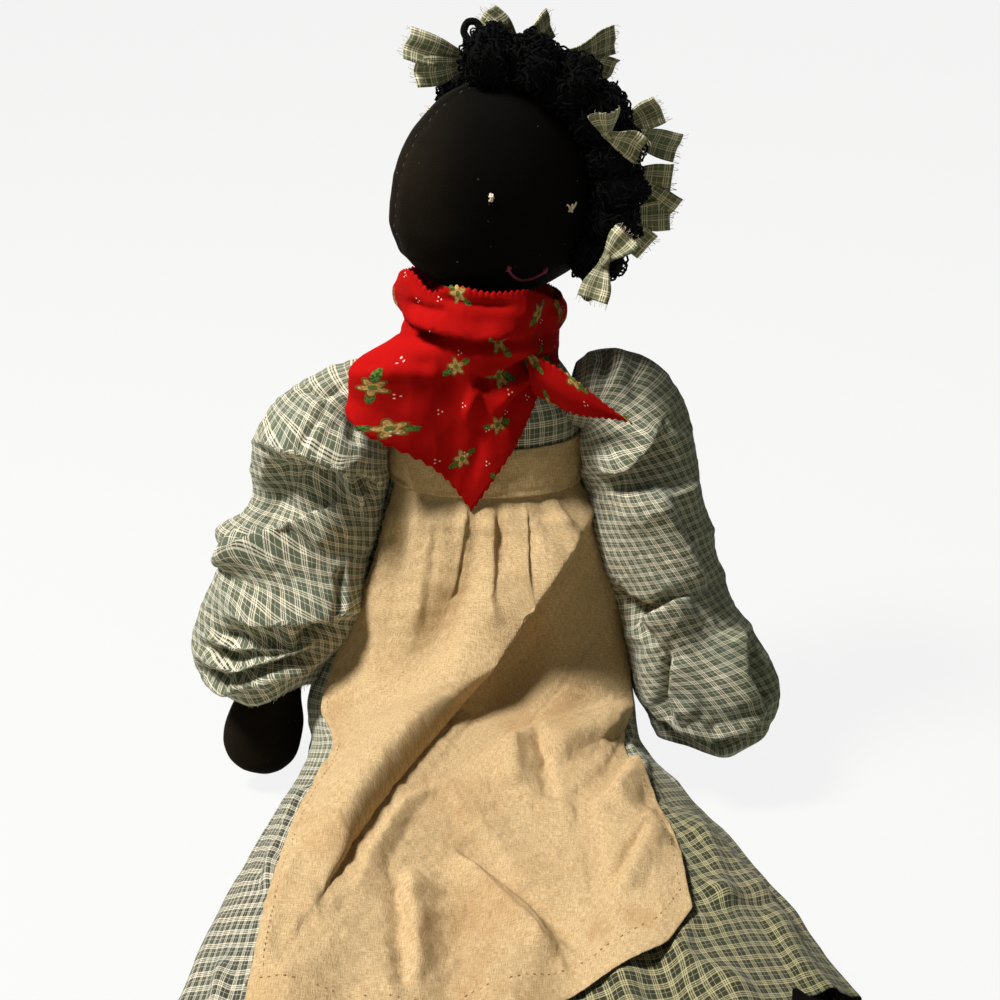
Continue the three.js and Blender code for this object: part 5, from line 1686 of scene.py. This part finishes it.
def face_threads(x, z, threads):
    """Threads given as points beside (x, z), each with its lift off the cloth."""
    return [[on_face(np.array(x + across), np.array(z + up), out) for across, up, out in thread]
            for thread in threads]


knot_eye = face_threads(-27, 4, [
    [(-0.4, 2.2, -0.6), (-0.6, 1.7, 1.1), (-0.3, -0.6, 1.5), (-0.5, -1.8, 0.8), (-0.4, -2.2, -0.6)],
    [(0.4, 2.0, -0.6), (0.5, 1.5, 1.2), (0.3, -0.3, 1.6), (0.5, -1.6, 0.9), (0.4, -2.0, -0.6)],
    [(-0.9, 0.5, -0.4), (-0.4, 0.8, 1.9), (0.5, 0.5, 2.0), (0.9, 0.2, -0.4)]])
right_eye = thread_tubes("right_eye_knot", knot_eye, 0.7, cream_thread)
tuft_eye = face_threads(25, -2, [
    [(0, -1, -0.6), (0.3, -0.4, 1.6), (1.8, 2.4, 2.6), (2.6, 4, 2.2)],
    [(-0.4, -1, -0.6), (-1.2, 0, 1.6), (-3.4, 2.4, 2.2), (-4.6, 2.8, 2.6)],
    [(-1.4, 0.6, -0.6), (-0.6, 0, 1.6), (0.8, -1.6, 1.6), (1.2, -2.6, -0.6)],
    [(0.8, 1.0, -0.6), (0, 0.2, 1.8), (-1.0, -1.0, 1.8), (-1.4, -2.0, -0.6)],
    [(-0.2, -0.4, -0.6), (-0.1, 0.6, 2.2), (-0.6, 2.2, 3.0), (-1.1, 3.4, 3.4)]])
left_eye = thread_tubes("left_eye_tuft", tuft_eye, 0.6, cream_thread)


def smile_place(share, out):
    return on_face(np.array(4 + 25.0 * share), np.array(-47.5 + 27 * share**2 - 2.5 * share), out)


smile = []
for k in range(10):
    ends = np.array([k - 0.35, k + 1.35]) / 10 - 0.5
    shares = [ends[0], blend_of(ends[0], ends[1], 0.3), blend_of(ends[0], ends[1], 0.7), ends[1]]
    smile.append([smile_place(share, out) for share, out in zip(shares, (-0.4, 0.9, 0.9, -0.4))])
for side, z in ((-1, -39.5), (1, -42)):
    smile += face_threads(4 + side * 12.5, z, [
        [(-0.8 * side, -1.4, -0.4), (0, 0, 1.3), (0.8 * side, 1.8, 1.4), (0.6 * side, 2.8, -0.4)],
        [(0.6 * side, -1.2, -0.4), (0.2 * side, 0.2, 1.6), (-0.4 * side, 1.4, 1.4),
         (-0.8 * side, 1.8, -0.4)]])
mouth = thread_tubes("smile_stitches", smile, 0.8, smile_thread)
for piece, node_name, slot in ((right_eye, "right_eye", "cream_thread"),
                               (left_eye, "left_eye", "cream_thread"),
                               (mouth, "mouth_stitches", "red_thread")):
    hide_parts(node_name)
    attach(piece, "head")
print("face stitches:", len(smile) + len(knot_eye) + len(tuft_eye))

# %% [markdown]
# Sewing lines. The waistband, the apron's hems and the head's side seams show rows of hand stitches. Each
# row starts as a line of points on the cloth. One Geometry Nodes tree turns a line into a curve, spaces
# points along it by a fixed pitch and lays one small stitch, a stretched ball, on each.

# %% Stitches by Geometry Nodes
STITCH_SIZES = {"Pitch": 0.0042, "Half length": 0.001, "Thread radius": 0.00028}
tree, entry, ending = node_tree("stitches", STITCH_SIZES)
curve = tree_node(tree, "GeometryNodeMeshToCurve", Mesh=entry.outputs["Geometry"])
spaced = tree_node(tree, "GeometryNodeResampleCurve", mode="LENGTH", Curve=curve.outputs[0],
                   Length=entry.outputs["Pitch"])
tangent = tree_node(tree, "GeometryNodeInputTangent")
lie = tree_node(tree, "FunctionNodeAlignRotationToVector", axis="X", Vector=tangent.outputs[0])
size = tree_node(tree, "ShaderNodeCombineXYZ", X=entry.outputs["Half length"],
                 Y=entry.outputs["Thread radius"], Z=entry.outputs["Thread radius"])
ball = tree_node(tree, "GeometryNodeMeshUVSphere", Segments=6, Rings=4, Radius=1.0)
laid = tree_node(tree, "GeometryNodeInstanceOnPoints", Points=spaced.outputs[0], Instance=ball.outputs[0],
                 Rotation=lie.outputs[0], Scale=size.outputs[0])
solid = tree_node(tree, "GeometryNodeRealizeInstances", Geometry=laid.outputs[0])
end_tree(tree, ending, solid.outputs[0], hem_thread)


def stitch_rows(name, rows, finish, sizes):
    points = np.concatenate(rows)
    edges = []
    start = 0
    for row in rows:
        edges += [(start + k, start + k + 1) for k in range(len(row) - 1)]
        start += len(row)
    mesh = bpy.data.meshes.new(name)
    mesh.from_pydata((points * MM).tolist(), edges, [])
    line = add_object(name + "_line", mesh)
    return grown(line, tree, {**STITCH_SIZES, **sizes}, name, finish)


band_stitches = stitch_rows("band_stitches", [band_seam], hem_thread, {})
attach(band_stitches, "torso")
apron_stitches = stitch_rows("apron_stitches", apron_seams, hem_thread, {})
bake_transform(apron_stitches)
seam_sizes = {"Pitch": 0.006, "Half length": 0.0013}
seam_stitches = stitch_rows("head_stitches", head_seams, seam_thread, seam_sizes)
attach(seam_stitches, "head")
stitched = (band_stitches, apron_stitches, seam_stitches)
print("stitches:", [len(piece.data.polygons) for piece in stitched], "faces")

# %% [markdown]
# Loose threads. Torn cotton frays: short bent threads stick out of the ends of the rags and of the right
# cuff. Each root is a point that carries the way its thread leaves the cloth as an attribute, and the nodes
# turn one bent thread to that way, with a little chance from a fixed seed. Two loops of yarn stand up from
# the first bunch of hair.

# %% Frayed threads by Geometry Nodes
FRAY_SIZES = {"Length": 0.0028, "Thread radius": 0.00013, "Seed": 21}
tree, entry, ending = node_tree("frayed_threads", FRAY_SIZES)
tip = tree_node(tree, "ShaderNodeCombineXYZ", X=entry.outputs["Length"], Y=0.0006, Z=0.0)
bent = tree_node(tree, "GeometryNodeCurveQuadraticBezier", Resolution=5, Start=(0, 0, 0),
                 Middle=(0.0014, -0.0005, 0.0003), End=tip.outputs[0])
loose = thread_along(tree, bent.outputs[0], entry.outputs["Thread radius"])
way = tree_node(tree, "GeometryNodeInputNamedAttribute", data_type="FLOAT_VECTOR", Name="way")
aimed = tree_node(tree, "FunctionNodeAlignRotationToVector", axis="X", Vector=way.outputs[0])
laid = laid_at_random(tree, entry.outputs["Seed"], entry.outputs["Geometry"], loose, aimed.outputs[0],
                      [(-3.1, -0.5, -0.5), (3.1, 0.5, 0.5)], [0.35, 1.5])
solid = tree_node(tree, "GeometryNodeRealizeInstances", Geometry=laid)
end_tree(tree, ending, solid.outputs[0], fray_thread)


def frayed(name, edges, every):
    """Loose threads from edges given as (points, ways), about one root in every so many millimetres."""
    roots = []
    ways = []
    for points, directions in edges:
        run = run_of(points)
        at = np.arange(0.3, run[-1], every)
        roots.append(read_along(at, run, points))
        ways.append(read_along(at, run, directions))
    mesh = bpy.data.meshes.new(name)
    mesh.from_pydata((np.concatenate(roots) * MM).tolist(), [], [])
    way = mesh.attributes.new("way", "FLOAT_VECTOR", "POINT")
    way.data.foreach_set("vector", np.concatenate(ways).ravel())
    dots = add_object(name + "_roots", mesh)
    return grown(dots, tree, FRAY_SIZES, name, fray_thread)


rag_fray = frayed("rag_fray", frayed_edges, 1.3)
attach(rag_fray, "head")
cuff = sleeve_ends["right"]
cuff_fray = frayed("cuff_fray", [(cuff[-1], cuff[-1] - cuff[0])], 1.1)
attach(cuff_fray, "right_arm")
print("loose threads:", len(rag_fray.data.polygons) + len(cuff_fray.data.polygons), "faces")


# %% Loose loops of yarn
def seen_at(point, places):
    """Points in the head's frame, as deep in the view as a given one, that fall on places in the picture."""
    depth = (point - eye) @ ahead
    steps = (np.array(places, float) - in_picture(point)) * depth * WIDTH_AT_AIM / (PICTURE * DISTANCE)
    spots = point + np.stack([steps[:, 0], 0 * steps[:, 0], 0 * steps[:, 0]], -1) - steps[:, 1:] * upward
    return (spots - HEAD_AT) @ head_matrix


first_bunch = on_head(bunch_place(*BUNCHES[0][:2])[1])
last_bunch = on_head(bunch_place(*BUNCHES[FRONT_BUNCHES - 1][:2])[1])
tall_loop = [(482, 52), (470, 42), (464, 31), (468, 22), (476, 22), (480, 30), (479, 40), (486, 54)]
loops = [seen_at(first_bunch, tall_loop),
         seen_at(first_bunch, [(494, 44), (489, 32), (494, 24), (500, 30), (499, 44)]),
         seen_at(last_bunch, [(596, 268), (590, 284), (584, 294), (588, 298), (596, 286), (602, 270)])]
yarn_loops = thread_tubes("yarn_loops", loops, 2.2, yarn)
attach(yarn_loops, "head")
print("yarn loops:", len(loops))
